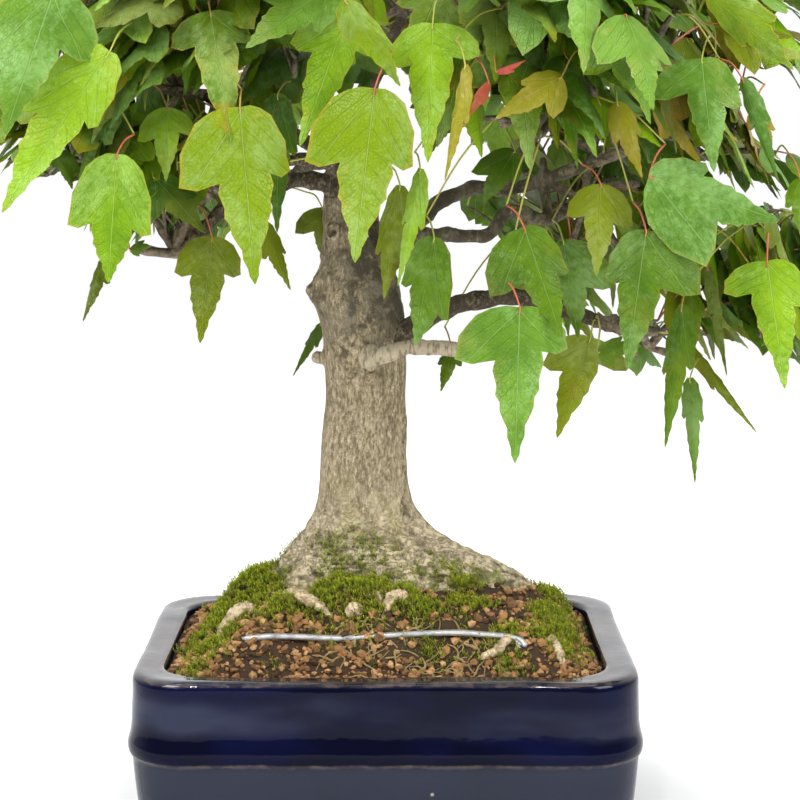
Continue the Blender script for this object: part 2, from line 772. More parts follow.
@dataclass
class Pot:
    """The glazed pot: a rounded rectangle with a ridge round its middle and cut feet."""

    half_x: float = 93.6 * MM
    half_y: float = 70.5 * MM
    corner: float = 26.0 * MM
    rim_z: float = 64.8 * MM
    rim_width: float = 11.5 * MM
    ridge_z: float = 38.5 * MM
    corner_steps: int = 12
    side_cuts: int = 20
    arch_height: float = 5.0 * MM
    profile: tuple[tuple[float, float], ...] = (
        (0, -6.6), (0.35, -5.5), (1.2, -5), (5, -3.7), (10, -2.3), (16, -1), (22, -0.4),
        (28, 0), (31.6, 0.2), (33, 0.25), (33.7, 0.5), (34.4, 1.1), (35.4, 1.55), (37, 1.8),
        (38.6, 1.80), (40, 1.55), (41.6, 1.05), (43.6, 0.65), (46.5, 0.35), (51, 0.20), (56, 0.05),
        (60, 0), (62.2, -0.05), (63.3, -0.3), (64.1, -0.8), (64.6, -1.6), (64.8, -2.8), (64.7, -4.6),
        (64.55, -6.6), (64.5, -8.6), (64.5, -10), (64.2, -10.9), (63.4, -11.35), (61.5, -11.5),
        (57, -11.6), (45, -11.9), (28, -12.4), (14, -12.8), (10, -13.6),
    )

    def build(self) -> Piece:
        """Loft the wall, cut the feet and give the form its slight unevenness."""
        only()
        bpy.ops.mesh.primitive_plane_add(size=2.0, location=(0.0, 0.0, 0.0))
        pot = bpy.context.object
        pot.name = "glazed_pot"
        start = self.profile[0][1] * MM
        bpy.ops.object.mode_set(mode="EDIT")
        bpy.ops.transform.resize(value=(self.half_x + start, self.half_y + start, 1.0))
        bpy.ops.mesh.bevel(offset=self.corner + start, segments=self.corner_steps, affect="VERTICES",
                           offset_type="OFFSET", clamp_overlap=True)
        reach = start
        height = 0.0
        for level, offset in self.profile[1:]:
            grown = offset * MM
            wider = (self.half_x + grown) / (self.half_x + reach)
            deeper = (self.half_y + grown) / (self.half_y + reach)
            bpy.ops.mesh.extrude_region_move(TRANSFORM_OT_translate={"value": (0, 0, level * MM - height)})
            bpy.ops.transform.resize(value=(wider, deeper, 1.0))
            reach = grown
            height = level * MM
        bpy.ops.mesh.select_mode(type="EDGE")
        bpy.ops.mesh.select_all(action="DESELECT")
        bpy.ops.object.mode_set(mode="OBJECT")
        for edge in pot.data.edges:
            a, b = (pot.data.vertices[i].co for i in edge.vertices)
            edge.select = (a - b).length > 60 * MM and abs(a.z - b.z) < 0.01 * MM
        bpy.ops.object.mode_set(mode="EDIT")
        bpy.ops.mesh.subdivide(number_cuts=self.side_cuts)
        bpy.ops.mesh.select_all(action="SELECT")
        bpy.ops.mesh.normals_make_consistent(inside=False)
        bpy.ops.object.mode_set(mode="OBJECT")
        for sign in (-1, 1):
            self.cut_arch(pot, (0.0, sign * self.half_y), (52.0 * MM, 15.0 * MM))
            self.cut_arch(pot, (sign * self.half_x, 0.0), (15.0 * MM, 34.0 * MM))
        points = points_of(pot)
        relief = Relief(11)
        push = relief.layered(points, 34 * MM, 3) * 0.42 * MM * np.clip(points[:, 2] / (12 * MM), 0, 1)
        points += normals_of(pot) * push[:, None]
        points[:, 2] += relief.at(points, 26 * MM) * 0.30 * MM * (points[:, 2] > 60 * MM)
        set_points(pot, points)
        only(pot)
        bpy.ops.object.shade_smooth_by_angle(angle=radians(50))
        return pot

    def cut_arch(self, pot: Piece, middle: Point, half: Point) -> None:
        """Cut one foot arch, with sloping ends and a softened edge."""
        only()
        bpy.ops.mesh.primitive_cube_add(size=2.0, location=(0, 0, 0))
        cutter = bpy.context.object
        bpy.ops.object.mode_set(mode="EDIT")
        bpy.ops.transform.resize(value=(half[0], half[1], self.arch_height))
        bpy.ops.transform.translate(value=(middle[0], middle[1], 0.0))
        bpy.ops.object.mode_set(mode="OBJECT")
        for vertex in cutter.data.vertices:
            if vertex.co.z > 0:
                wide = 0 if half[0] > half[1] else 1
                vertex.co[wide] += -self.arch_height if vertex.co[wide] > middle[wide] else self.arch_height
        apply_modifier(pot, "BOOLEAN", operation="DIFFERENCE", solver="EXACT", object=cutter)
        bpy.data.objects.remove(cutter, do_unlink=True)

    def dress(self, pot: Piece) -> None:
        """Glaze the pot and let it stand for its solid."""
        pot.data.materials.clear()
        pot.data.materials.append(GlazeFinish(self.rim_z, self.ridge_z).material())
        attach(pot, "root")
        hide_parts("pot")

    def contour(self, offset: float, steps: int, side: int) -> Array:
        """Return the rounded rectangle moved out by an offset, as many points."""
        inner = (self.half_x - self.corner, self.half_y - self.corner)
        radius = self.corner + offset
        points = []
        for quarter, (sx, sy) in enumerate(((1, 1), (-1, 1), (-1, -1), (1, -1))):
            for step in range(steps + 1):
                angle = pi / 2 * (quarter + step / steps)
                points.append((sx * inner[0] + radius * cos(angle),
                               sy * inner[1] + radius * sin(angle)))
            nx, ny = ((-1, 1), (-1, -1), (1, -1), (1, 1))[quarter]
            angle = pi / 2 * (quarter + 1)
            end = np.array((nx * inner[0] + radius * cos(angle), ny * inner[1] + radius * sin(angle)))
            start = np.array(points[-1])
            for step in range(1, side):
                points.append(tuple(start + (end - start) * step / side))
        return np.array(points)


# ---------------------------------------------------------------- soil, moss, roots and wire


@dataclass
class Ground:
    """The mound of soil in the pot: clay grains, humus and moss over it."""

    pot: Pot
    timber: "Timber"
    edge_z: float = 61.6 * MM
    top_z: float = 83.0 * MM
    plateau_x: float = 8.0 * MM
    plateau: tuple[float, float] = (57.0 * MM, 36.0 * MM)
    rings: int = 30
    grains: int = 12500
    shoots: int = 36000
    seed: int = 5
    swells: tuple = (
        (-56, -6, 15, 17, 3.6), (-12, -35, 19, 8, 4.5), (-42, -30, 10, 9, 4.0), (-50, -45, 15, 7, 5.0),
        (50, -46, 13, 7, 4.5), (62, 2, 16, 30, -5.0), (0, -44, 16, 6, 3.0),
    )
    relief: Relief = field(default_factory=lambda: Relief(23))

    def share(self, x: float, y: float) -> float:
        """Return 0 on the plateau and 1 at the pot's wall, as the mound falls."""
        bearing = atan2(y / self.plateau[1], (x - self.plateau_x) / self.plateau[0])
        inner = np.array((self.plateau_x + self.plateau[0] * cos(bearing),
                          self.plateau[1] * sin(bearing)))
        spot = np.array((x, y))
        away = unit(spot - (self.plateau_x, 0.0))
        inside = np.dot(spot - inner, away)
        if inside <= 0:
            return 0.0
        reach = inside + self.to_wall(spot, away)
        return min(1.0, inside / max(reach, 1e-6))

    def to_wall(self, spot: Array, away: Array) -> float:
        """Return the distance from a spot to the pot's inner wall."""
        low, high = 0.0, 0.12
        for _ in range(14):
            middle = (low + high) / 2
            if self.outside(spot + away * middle) > 0:
                high = middle
            else:
                low = middle
        return low

    def outside(self, spot: Array) -> float:
        """Return how far a spot lies beyond the pot's inner wall."""
        radius = self.pot.corner - self.pot.rim_width - 0.6 * MM
        half = np.array((self.pot.half_x - self.pot.corner, self.pot.half_y - self.pot.corner))
        over = np.abs(spot) - half
        return float(np.linalg.norm(np.maximum(over, 0.0)) + min(max(over[0], over[1]), 0.0) - radius)

    def height(self, x: float, y: float) -> float:
        """Return the mound's height at a spot."""
        share = self.share(x, y)
        rough = float(self.relief.layered(np.array([(x, y, 0.0)]), 9 * MM, 3)[0])
        fall = share * share * (3 - 2 * share)
        height = self.top_z - (self.top_z - self.edge_z) * fall + rough * 1.3 * MM
        for cx, cy, wx, wy, rise in self.swells:
            height += rise * MM * exp(-((x / MM - cx) / wx) ** 2 - ((y / MM - cy) / wy) ** 2)
        gap = hypot(x / MM + 6.0, y / MM)
        gap -= self.timber.reach(np.array([atan2(y / MM, x / MM + 6.0)]), self.timber.foot)[0]
        return height + 4.5 * MM * exp(-max(gap, 0.0) / 5.0) * (gap > -6.0)

    def mound(self) -> Piece:
        """Return the soil's body, closed below."""
        edge = self.pot.contour(-self.pot.rim_width - 0.35 * MM, 10, 18)
        sides = len(edge)
        levels = []
        for ring in range(self.rings + 1):
            share = ring / self.rings
            spots = np.array((self.plateau_x, 0.0)) + (edge - (self.plateau_x, 0.0)) * (0.04 + 0.96 * share)
            levels.append([(x, y, self.height(x, y)) for x, y in spots])
        floor = self.pot.contour(-self.pot.rim_width - 2.0 * MM, 10, 18)
        levels.append([(x, y, 40 * MM) for x, y in floor])
        vertices = [p for level in levels for p in level]
        faces = [tuple(range(sides))]
        for ring in range(len(levels) - 1):
            for corner in range(sides):
                ahead = (corner + 1) % sides
                low = ring * sides
                faces.append((low + corner, low + sides + corner, low + sides + ahead, low + ahead))
        faces.append(tuple(reversed(range((len(levels) - 1) * sides, len(levels) * sides))))
        heap = Heap()
        values = 0.25 + 0.25 * self.relief.layered(np.array(vertices), 7 * MM, 2)
        heap.put(vertices, faces, tone=values)
        return heap.mesh_object("soil_body", GrainFinish("soil_crumb", warm=(0.060, 0.026, 0.013)).material())

    def spots(self, count: int, chance: random.Random) -> list[tuple[float, float]]:
        """Return random spots inside the pot and outside the root flare."""
        found = []
        while len(found) < count:
            x = chance.uniform(-0.080, 0.080)
            y = chance.uniform(-0.060, 0.060)
            if self.outside(np.array((x, y))) < -0.8 * MM:
                found.append((x, y))
        return found

    def clay(self) -> Piece:
        """Return thousands of angular grains, thick in front and at the wall."""
        chance = random.Random(self.seed)
        base = [np.array((0.0, 0.0, 1.0)), np.array((0.0, 0.0, -1.0))]
        for level, start in ((0.45, 0.0), (-0.45, pi / 5)):
            for turn in (start + k * 1.2566 for k in range(5)):
                base.append(np.array((0.89 * cos(turn), 0.89 * sin(turn), level)))
        faces = []
        for k in range(5):
            n = (k + 1) % 5
            faces += [(0, 2 + k, 2 + n), (1, 7 + n, 7 + k), (2 + k, 7 + k, 2 + n), (2 + n, 7 + k, 7 + n)]
        heap = Heap()
        for x, y in self.spots(self.grains, chance):
            share = self.share(x, y)
            front = y < -0.030
            humus = hump(hypot((x / MM - 26) / 28, (y / MM + 44) / 9), 1.0)
            likely = 0.45 if share > 0.4 else 0.22
            if front and share > 0.25:
                likely = 0.97 - 0.90 * humus
            if chance.random() > likely:
                continue
            size = chance.choice((0.5, 0.7, 0.9, 1.1, 1.4, 1.9)) * chance.uniform(0.8, 1.2) * MM
            turn = chance.uniform(0, 6.28)
            flat = chance.uniform(0.55, 1.0)
            axis, side = flat_frame(turn)
            tip = np.array((chance.uniform(-0.4, 0.4), chance.uniform(-0.4, 0.4), 1.0))
            shape = [(axis * p[0] + side * p[1] * 0.85 + tip * p[2] * flat) * size * chance.uniform(0.72, 1.18)
                     for p in base]
            spot = np.array((x, y, self.height(x, y) + size * chance.uniform(0.0, 0.6)))
            if self.outside(spot[:2]) > -size * 1.1:
                continue
            heap.put([spot + p for p in shape], faces, tone=chance.choice((0.12, 0.35, 0.5, 0.6, 0.75, 0.95)))
        grains = heap.mesh_object("clay_grain_layer", GrainFinish().material())
        only(grains)
        bpy.ops.object.shade_smooth_by_angle(angle=radians(38))
        return grains

    def cover(self, x: float, y: float) -> float:
        """Return how thick moss stands at a spot, 0 to 1."""
        cushions = (
            (-58, -12, 18, 20, 1.0), (-50, 10, 18, 18, 0.9), (-12, -34, 19, 13, 1.1), (8, -36, 13, 9, 0.9),
            (27, -17, 9, 8, 0.8), (-30, -30, 9, 9, 0.6), (-40, -34, 12, 8, 0.6), (-15, -24, 14, 11, 1.3),
            (-72, -50, 7, 5, 0.6), (-42, -51, 6, 3, 0.45), (47, -52, 8, 4, 0.65), (66, -40, 10, 11, 0.6),
            (-22, -45, 12, 4, 0.4), (-66, -34, 10, 14, 0.75), (66, -24, 12, 16, 0.75), (68, 10, 10, 22, 0.7),
            (30, -28, 12, 9, 0.6), (-38, -36, 11, 10, 0.65), (44, -46, 14, 6, 0.45), (58, -40, 10, 10, 0.5),
            (0, 44, 60, 14, 0.6), (-66, -46, 6, 6, 0.5), (-10, 55, 50, 6, 0.3), (18, -48, 12, 5, 0.35),
            (-30, 46, 26, 14, 0.8),
        )
        best = 0.0
        for cx, cy, wx, wy, most in cushions:
            away = ((x / MM - cx) / wx) ** 2 + ((y / MM - cy) / wy) ** 2
            best = max(best, most * exp(-away))
        return best + 0.22 * float(self.relief.layered(np.array([(x, y, 0.05)]), 8 * MM, 3)[0])

    def moss(self) -> Piece:
        """Return the moss: star shaped shoots that crowd into cushions and climb the flare."""
        chance = random.Random(self.seed + 1)
        heap = Heap()
        for x, y in self.spots(self.shoots, chance):
            thick = self.cover(x, y)
            if thick < chance.uniform(0.16, 0.62):
                continue
            base = self.height(x, y) + max(0.0, thick - 0.3) * 5.5 * MM
            climb = self.timber.flare_height(x, y)
            if climb > base + 25 * MM:
                continue
            base = max(base, climb)
            self.shoot(heap, chance, np.array((x, y, base - 0.6 * MM)), chance.uniform(1.1, 2.9) * MM)
        return heap.mesh_object("moss_shoot_layer", MossFinish().material())

    def shoot(self, heap: Heap, chance: random.Random, root: Array, tall: float) -> None:
        """Add one shoot of moss: three whorls of pointed leaves round a leaning stem."""
        lean = np.array((chance.gauss(0, 0.5), chance.gauss(0, 0.5), 1.0))
        vertices, faces, tones = [], [], []
        for whorl, (level, reach, leaves) in enumerate(((0.25, 0.50, 4), (0.6, 0.42, 4), (0.92, 0.26, 3))):
            middle = root + lean * tall * level
            for leaf in range(leaves):
                turn = 2 * pi * (leaf + 0.5 * whorl) / leaves + chance.uniform(-0.3, 0.3)
                out, side = flat_frame(turn)
                side = side * tall * 0.085
                start = len(vertices)
                vertices += [middle + side, middle - side, middle + (out * reach + (0, 0, 0.42)) * tall]
                faces.append((start, start + 1, start + 2))
                tones += [level * 0.5, level * 0.5, level * 0.6 + 0.35 + chance.uniform(-0.1, 0.15)]
        heap.put(vertices, faces, tone=np.array(tones))

    def build(self) -> list[Piece]:
        """Build and dress the soil's pieces."""
        body, grains, moss = self.mound(), self.clay(), self.moss()
        for item in (body, grains):
            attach(item, "root")
            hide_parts("soil_mound")
        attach(moss, "root")
        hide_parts("moss_left", "moss_front", "moss_right")
        return [body, grains, moss]


@dataclass
class GroundRoots:
    """Roots that show on the soil, thin rootlets, a pebble and the old tie wire."""

    ground: Ground
    thick: tuple = (
        (((-38.5, -26), (-35, -29), (-31, -33), (-28, -36), (-24, -38), (-20, -40)),
         (2.6, 3.0, 2.4, 2.1, 1.8, 1.0), 4.6),
        (((-62, -33), (-61, -29), (-57, -26), (-52, -25), (-49, -28)), (1.3, 2.3, 2.6, 2.2, 1.0), 4.0),
        (((60, -40), (62, -41), (63.5, -44), (65, -48), (66, -51)), (1.4, 2.1, 1.9, 1.6, 0.8), 2.4),
        (((11, -36), (6, -37.5), (2, -38.5), (-0.5, -42)), (1.3, 2.1, 2.0, 1.1), 4.0),
        (((-6, -34), (-3, -36), (-0.5, -37)), (0.9, 1.5, 0.9), 3.0),
        (((35, -50), (40, -49.5), (45, -47), (48, -45)), (0.9, 1.9, 1.9, 0.9), 2.2),
        (((-13.5, -41), (-11.5, -41.5), (-9.5, -41)), (1.7, 2.8, 1.7), 3.4),
    )
    rootlets: int = 90
    wire_path: tuple = (
        (-53, -45, 75.0), (-42, -46, 76.2), (-30, -46, 76.0), (-18, -46.5, 75.6), (-8, -46, 76.0),
        (4, -46, 76.8), (16, -46, 77.4), (28, -46, 77.6), (36, -45.5, 76.8), (44, -46, 76.4),
        (50, -47, 75.2), (52, -49, 73.0),
    )

    def route(self, path: Iterable[Point], rise: float, count: int) -> Array:
        """Return points over the soil along a path, highest in the middle."""
        flat = spline([(x, y, 0.0) for x, y in path], count) * MM
        for index, spot in enumerate(flat):
            share = index / (count - 1)
            spot[2] = self.ground.height(spot[0], spot[1]) + rise * MM * (sin(pi * share) * 1.2 - 0.3)
        smooth = flat[:, 2].copy()
        for _ in range(4):
            smooth[1:-1] = (smooth[:-2] + smooth[1:-1] * 2 + smooth[2:]) / 4
        flat[:, 2] = smooth
        return flat

    def roots(self) -> Piece:
        """Return the roots, knobbly, with thin rootlets between the grains."""
        chance = random.Random(17)
        heap = Heap()
        for path, widths, rise in self.thick:
            count = 26
            points = self.route(path, rise, count)
            radii = np.interp(np.linspace(0, 1, count), np.linspace(0, 1, len(widths)), widths) * MM
            radii = radii * np.array([chance.uniform(0.82, 1.20) for _ in radii])
            points[:, :2] += np.array([(chance.gauss(0, 0.25), chance.gauss(0, 0.25)) for _ in radii]) * MM
            heap.put(*tube(points, radii, 9), tone=0.0)
        for _ in range(self.rootlets):
            x, y = chance.uniform(-20, 50), chance.uniform(-57, -43)
            turn = chance.uniform(0, 6.28)
            path = [(x, y)]
            for _ in range(4):
                turn += chance.gauss(0, 0.7)
                step = chance.uniform(1.5, 4.0)
                x, y = x + cos(turn) * step, y + sin(turn) * step * 0.6
                path.append((x, y))
            if max(self.ground.outside(np.array(p) * MM) for p in path) > -1.0 * MM:
                continue
            points = self.route(path, chance.uniform(0.8, 2.2), 12)
            width = chance.choice((0.25, 0.35, 0.5, 0.75))
            heap.put(*tube(points, np.linspace(width, width * 0.4, 12) * MM, 5), tone=1.0)
        bark = WoodFinish("root_bark", (0.240, 0.165, 0.080), (0.760, 0.620, 0.400), 300)
        return heap.mesh_object("surface_root_group", bark.material())

    def wire(self) -> Piece:
        """Return the tie wire, bent a little and twisted back on itself at its end."""
        points = spline(self.wire_path, 70) * MM
        heap = Heap()
        radii = np.full(70, 1.15) * MM
        radii[0] = radii[-1] = 0.5 * MM
        heap.put(*tube(points, radii, 12))
        end = points[-8]
        for phase in (0.0, pi):
            coil = []
            for step in range(40):
                turn = step / 39 * 2.5 * 2 * pi + phase
                drop = np.array((1.5, -1.5, -6.5)) * MM * step / 39
                lap = np.array((cos(turn), 0.5 * sin(turn), sin(turn))) * 1.1 * MM
                coil.append(end + drop + lap)
            heap.put(*tube(np.array(coil), np.full(40, 0.72) * MM, 7))
        return heap.mesh_object("aged_tie_wire", WireFinish().material())

    def build(self) -> list[Piece]:
        """Build and dress the roots and the wire."""
        roots, wire = self.roots(), self.wire()
        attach(roots, "root")
        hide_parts("surface_root_front", "surface_root_left", "surface_root_right")
        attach(wire, "root")
        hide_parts("tie_wire")
        return [roots, wire]


# ---------------------------------------------------------------- trunk and boughs


@dataclass(frozen=True)
class Limb:
    """One limb: what carries it, its way points in mm, its radii in mm and its bark's tone."""

    carrier: str
    way: tuple
    root: float
    tip: float
    tone: float


LIMBS = {
    "leader": Limb("trunk", (
        (-17, 0, 202), (-18.5, 0, 222), (-18.5, 1, 240), (-14, 3, 258), (-6, 5, 275), (-4, 5, 296),
        (-8, 3, 318)), 6.4, 3.0, 0.85),
    "bough_low_front": Limb("trunk", (
        (-8, -6, 174), (-4, -19, 177), (9, -25, 181), (26, -31, 181), (38, -38, 184)), 3.6, 2.3, 1.7),
    "bough_low_right": Limb("trunk", (
        (-3, -4, 180), (11, -9, 187), (23, -9, 195), (38, -1, 197), (58, 0, 196), (82, -1, 189)),
        4.3, 2.8, 0.12),
    "bough_mid_right": Limb("trunk", (
        (-3, -3, 207), (9, -4, 219), (22, -3, 223), (38, 0, 221), (47, 2, 230), (62, 8, 228), (72, 28, 230)),
        3.1, 2.1, 0.95),
    "bough_high_right": Limb("trunk", (
        (-5, 5, 207), (7, 13, 219), (20, 20, 233), (38, 20, 239), (58, 17, 241), (82, 8, 250)), 3.5, 2.3, 0.75),
    "bough_left_low": Limb("leader", (
        (-18.5, 0, 240), (-30, -3, 243), (-46, -9, 240), (-60, -13, 232), (-72, -15, 222)), 3.2, 2.3, 0.25),
    "bough_left_back": Limb("leader", (
        (-17, 4, 247), (-24, 20, 249), (-38, 38, 244), (-50, 49, 233)), 3.0, 2.1, 0.4),
    "bough_back": Limb("trunk", ((-10, 5, 199), (-7, 22, 209), (-5, 38, 216), (-5, 50, 223)), 3.3, 2.2, 0.5),
    "bough_left": Limb("leader", (
        (-15.5, 2, 253), (-28, 1, 257), (-40, 0, 262), (-54, 0, 268), (-70, 2, 275)), 3.0, 2.2, 0.2),
    "bough_left_front": Limb("leader", (
        (-18, -1, 247), (-22, -13, 250), (-32, -27, 252), (-41, -37, 250)), 2.9, 2.0, 0.35),
    "bough_top_right": Limb("leader", ((-6, 4, 283), (10, 6, 293), (28, 8, 302), (44, 9, 315)), 2.9, 2.0, 0.3),
    "bough_top_back": Limb("leader", ((-7, 5, 276), (-3, 22, 288), (3, 37, 299), (6, 46, 305)), 2.6, 1.9, 0.4),
    "bough_right_front": Limb("bough_high_right", (
        (46, 19, 240), (50, 4, 250), (57, -12, 262), (63, -26, 272)), 2.4, 1.8, 0.45),
}


@dataclass
class Timber:
    """The trunk with its flare, scars and leader, and every bough, fused into one bark."""

    stations: tuple = (
        (78, -6, 17.6), (83.3, -6, 17.5), (101, -7.5, 17), (118, -8.2, 16.7), (138, -8.5, 16.4),
        (158, -8, 15.5), (178, -8, 15.4), (190, -9.5, 16.4), (198, -11.4, 17.2), (206, -11.4, 15.6),
        (211, -11.8, 13.2), (216, -13, 10.4), (221, -15, 8.4), (227, -17, 6.6),
    )
    flare: tuple = (
        (2, 46, 19.5, 22), (28, 10, 22, 12), (62, 22, 18, 26), (125, 18, 20, 28),
        (184, 23, 23, 26), (212, 9, 20, 11), (240, 15, 22, 22), (272, 7, 24, 10),
        (300, 18, 20, 22), (330, 16, 16, 14),
    )
    foot: float = 83.3
    voxel: float = 0.80 * MM
    cracks: tuple = (
        ((338, 154), (344, 150), (341, 145), (333, 143)), ((336, 133), (342, 129), (339, 124), (331, 121)),
        ((327, 120), (333, 117), (324, 113)),
    )
    marks: tuple = (
        ((-10, -15.5, 177), 5.5, 1.9, 1.1), ((-16.5, -14, 183), 0, 2.2, 2.8),
        ((-13.5, -15.5, 170.5), 0, 2, 2.7), ((-18.5, -13, 175.5), 0, 1.9, 2.6),
        ((-9, -16, 187), 0, 2, 2.4), ((-5, -16, 169.5), 0, 1.8, 2),
        ((-21, -11, 181), 0, 1.7, 2), ((-14, -15.5, 177.5), 0, 1.1, -1.1),
        ((-19.8, -5.8, 223.5), 2.3, 1, 1.3), ((-19.8, -6.4, 223.5), 0, 1.4, -2),
        ((-29, -1, 201), 0, 5, 2.2), ((-28, -5, 205.5), 0, 1.9, 2.2),
        ((-27, -7, 197), 0, 1.9, 2.2), ((-29.5, -3, 201), 0, 1.3, -1),
        ((2, -14, 196), 0, 7, 1.2), ((-16, -15, 193), 0, 3.5, 1),
        ((-22, -10, 208), 0, 4, 1),
    )
    spurs: tuple = (
        (((-20, -2, 174.5), (-25, -2, 175), (-27.2, -2.2, 175.4), (-28.2, -2.3, 175.6)),
         (2.6, 2.3, 2.5, 1.2), 12),
        (((61, 17, 251), (61.5, 15, 241), (62.5, 10, 231), (63, 8, 226)), (1.5, 2.2, 1.9, 1.6), 10),
    )

    def reach(self, angle: Array, height: float) -> Array:
        """Return the trunk's reach from its middle line, by angle, at a height in mm."""
        core = np.interp(height, [s[0] for s in self.stations], [s[2] for s in self.stations])
        total = np.full_like(angle, core)
        above = max(height - self.foot, 0.0)
        for bearing, length, fall, width in self.flare:
            turn = (np.degrees(angle) - bearing + 180.0) % 360.0 - 180.0
            total = total + length * np.exp(-((turn / width) ** 2)) * exp(-((above / fall) ** 2))
        return total

    def middle(self, height: float) -> float:
        """Return the middle line's place in X, in mm, at a height in mm."""
        return float(np.interp(height, [s[0] for s in self.stations], [s[1] for s in self.stations]))

    def surface(self, turn: float, height: float) -> Array:
        """Return the point of the trunk's surface at an angle and a height in mm."""
        reach = self.reach(np.array([turn]), height)[0]
        return np.array((self.middle(height) + reach * cos(turn), reach * sin(turn), height)) * MM

    def flare_height(self, x: float, y: float) -> float:
        """Return the height of the flare's surface over a spot, in metres, or nought beside it."""
        best = 0.0
        for height in np.arange(self.foot, 130.0, 1.5):
            dx = x / MM - self.middle(height)
            angle = np.array([atan2(y / MM, dx)])
            if hypot(dx, y / MM) < self.reach(angle, height)[0]:
                best = height * MM
            else:
                break
        return best

    def trunk(self) -> Mesh:
        """Return the trunk's plain form."""
        sides = 72
        angle = np.linspace(0, 2 * pi, sides, endpoint=False)
        stack = spline(self.stations, 90)
        vertices = []
        for height, middle, core in stack:
            reach = self.reach(angle, height) - np.interp(height, stack[:, 0], stack[:, 2]) + core
            for turn, length in zip(angle, reach):
                vertices.append(((middle + length * cos(turn)) * MM, length * sin(turn) * MM,
                                 height * MM))
        return vertices, loft(len(stack), sides)

    def limb(self, name: str) -> tuple[Array, Array]:
        """Return a limb's kinked path and its knobbly radii, in metres."""
        limb = LIMBS[name]
        way = [np.array(p, float) for p in limb.way]
        length = sum(np.linalg.norm(b - a) for a, b in zip(way, way[1:]))
        count = max(12, round(length / 1.6))
        path = spline(way, count)
        share = np.linspace(0, 1, count)
        chance = np.random.default_rng(sum(map(ord, name)))
        wander = Relief(int(chance.integers(1, 999)))
        ease = np.minimum(1.0, 4 * (1 - share))[:, None] * np.minimum(1.0, 5 * share)[:, None]
        for axis in range(3):
            path[:, axis] += wander.layered(path + 31.0 * axis, 11.0, 2) * 1.3 * ease[:, 0]
        radii = limb.root + (limb.tip - limb.root) * share**0.8
        run = share * length
        radii = radii * (1.0 + 0.75 * np.exp(-run / 5.0))
        for place in np.arange(chance.uniform(9, 16), length - 4, chance.uniform(10, 15)):
            radii = radii * (1.0 + chance.uniform(0.10, 0.30) * hump(run - place, 1.8))
        radii = radii * (1.0 + 0.05 * wander.at(path, 3.0))
        return path * MM, radii * MM

    def build(self) -> Piece:
        """Fuse trunk and boughs, then raise their relief."""
        heap = Heap()
        heap.put(*self.trunk())
        bones, tones, kinds = [], [], []
        for name, limb in LIMBS.items():
            path, radii = self.limb(name)
            heap.put(*tube(path, radii, 18))
            bones += list(path)
            tones += [limb.tone] * len(path)
            kinds += [1.0 if limb.root < 6 else 0.4] * len(path)
        for way, widths, sides in self.spurs:
            heap.put(*tube(np.array(way) * MM, np.array(widths) * MM, sides))
        wood = heap.mesh_object("maple_timber", BarkFinish().material())
        apply_modifier(wood, "REMESH", mode="VOXEL", voxel_size=self.voxel, use_smooth_shade=True)
        apply_modifier(wood, "SMOOTH", factor=0.5, iterations=5)
        points = points_of(wood)
        normals = normals_of(wood)
        tree = nearest(bones)
        heights, middles, _ = np.array(self.stations).T * MM
        middles = np.interp(points[:, 2], heights, middles)
        angle = np.arctan2(points[:, 1], points[:, 0] - middles)
        out = np.hypot(points[:, 1], points[:, 0] - middles)
        trunk_reach = np.array([self.reach(np.array([a]), z / MM)[0] for a, z in zip(angle, points[:, 2])]) * MM
        on_trunk = (out < trunk_reach + 1.0 * MM) & (points[:, 2] < 217 * MM)
        tone = np.ones(len(points))
        limb = np.zeros(len(points))
        for index in np.nonzero(~on_trunk)[0]:
            _, bone, _ = tree.find(points[index])
            tone[index] = tones[bone]
            limb[index] = kinds[bone]
        crease = self.relieve(points, normals, on_trunk, limb)
        set_points(wood, points)
        for name, values in (("tone", tone), ("crease", crease), ("limb", limb)):
            set_value(wood, name, values)
        wood.data.shade_smooth()
        LOG.info("timber: %d faces", len(wood.data.polygons))
        return wood

    def relieve(self, points: Array, normals: Array, on_trunk: Array, limb: Array) -> Array:
        """Move the bark's points along their normals.

        Args:
            points: the vertices, moved in place.
            normals: their normals.
            on_trunk: which of them lie on the trunk.
            limb: how much each belongs to a bough.

        Returns:
            How deep in a crease each point lies, 0 to 1.
        """
        relief = Relief(41)
        low = np.clip((124 * MM - points[:, 2]) / (30 * MM), 0, 1)
        high = np.clip((points[:, 2] - 176 * MM) / (20 * MM), 0, 1) * on_trunk
        push = relief.layered(points, 15 * MM, 3) * 0.55 * on_trunk
        push += relief.layered(points, np.array((2.4, 2.4, 15.0)) * MM, 2) * 0.17 * on_trunk
        ridges = 1.0 - 2.2 * np.abs(relief.layered(points, np.array((8.0, 8.0, 3.4)) * MM, 3))
        push += ridges * 0.50 * low
        push += relief.layered(points, 3.4 * MM, 2) * 0.20 * low
        knobs = relief.layered(points, 4.6 * MM, 3)
        push += knobs * (0.35 * high + 0.30 * limb)
        bands = 1.0 - 2.0 * np.abs(relief.layered(points, 2.6 * MM, 2))
        push += bands * 0.16 * limb
        crease = np.clip((-ridges - 0.05) * 1.6, 0, 1) * low
        crease = crease + np.clip(-knobs - 0.35, 0, 1) * (high + 0.6 * limb)
        for centre, radius, width, height in self.marks:
            away = np.linalg.norm(points - np.array(centre) * MM, axis=1) / MM
            ring = hump(away - radius, width)
            push += ring * height * (1.0 + 0.5 * knobs)
            if height < 0:
                crease += ring * 0.8
            elif radius > 3:
                crease += ring * np.clip(-knobs * 1.8, 0, 1)
            elif width < 2.6:
                crease += hump(away - radius - 1.25 * width, 0.40) * 0.5
        lines = []
        for crack in self.cracks:
            for bearing, height in spline([(*p, 0.0) for p in crack], 24)[:, :2]:
                lines.append(self.surface(radians(bearing), height))
        tree = nearest(lines)
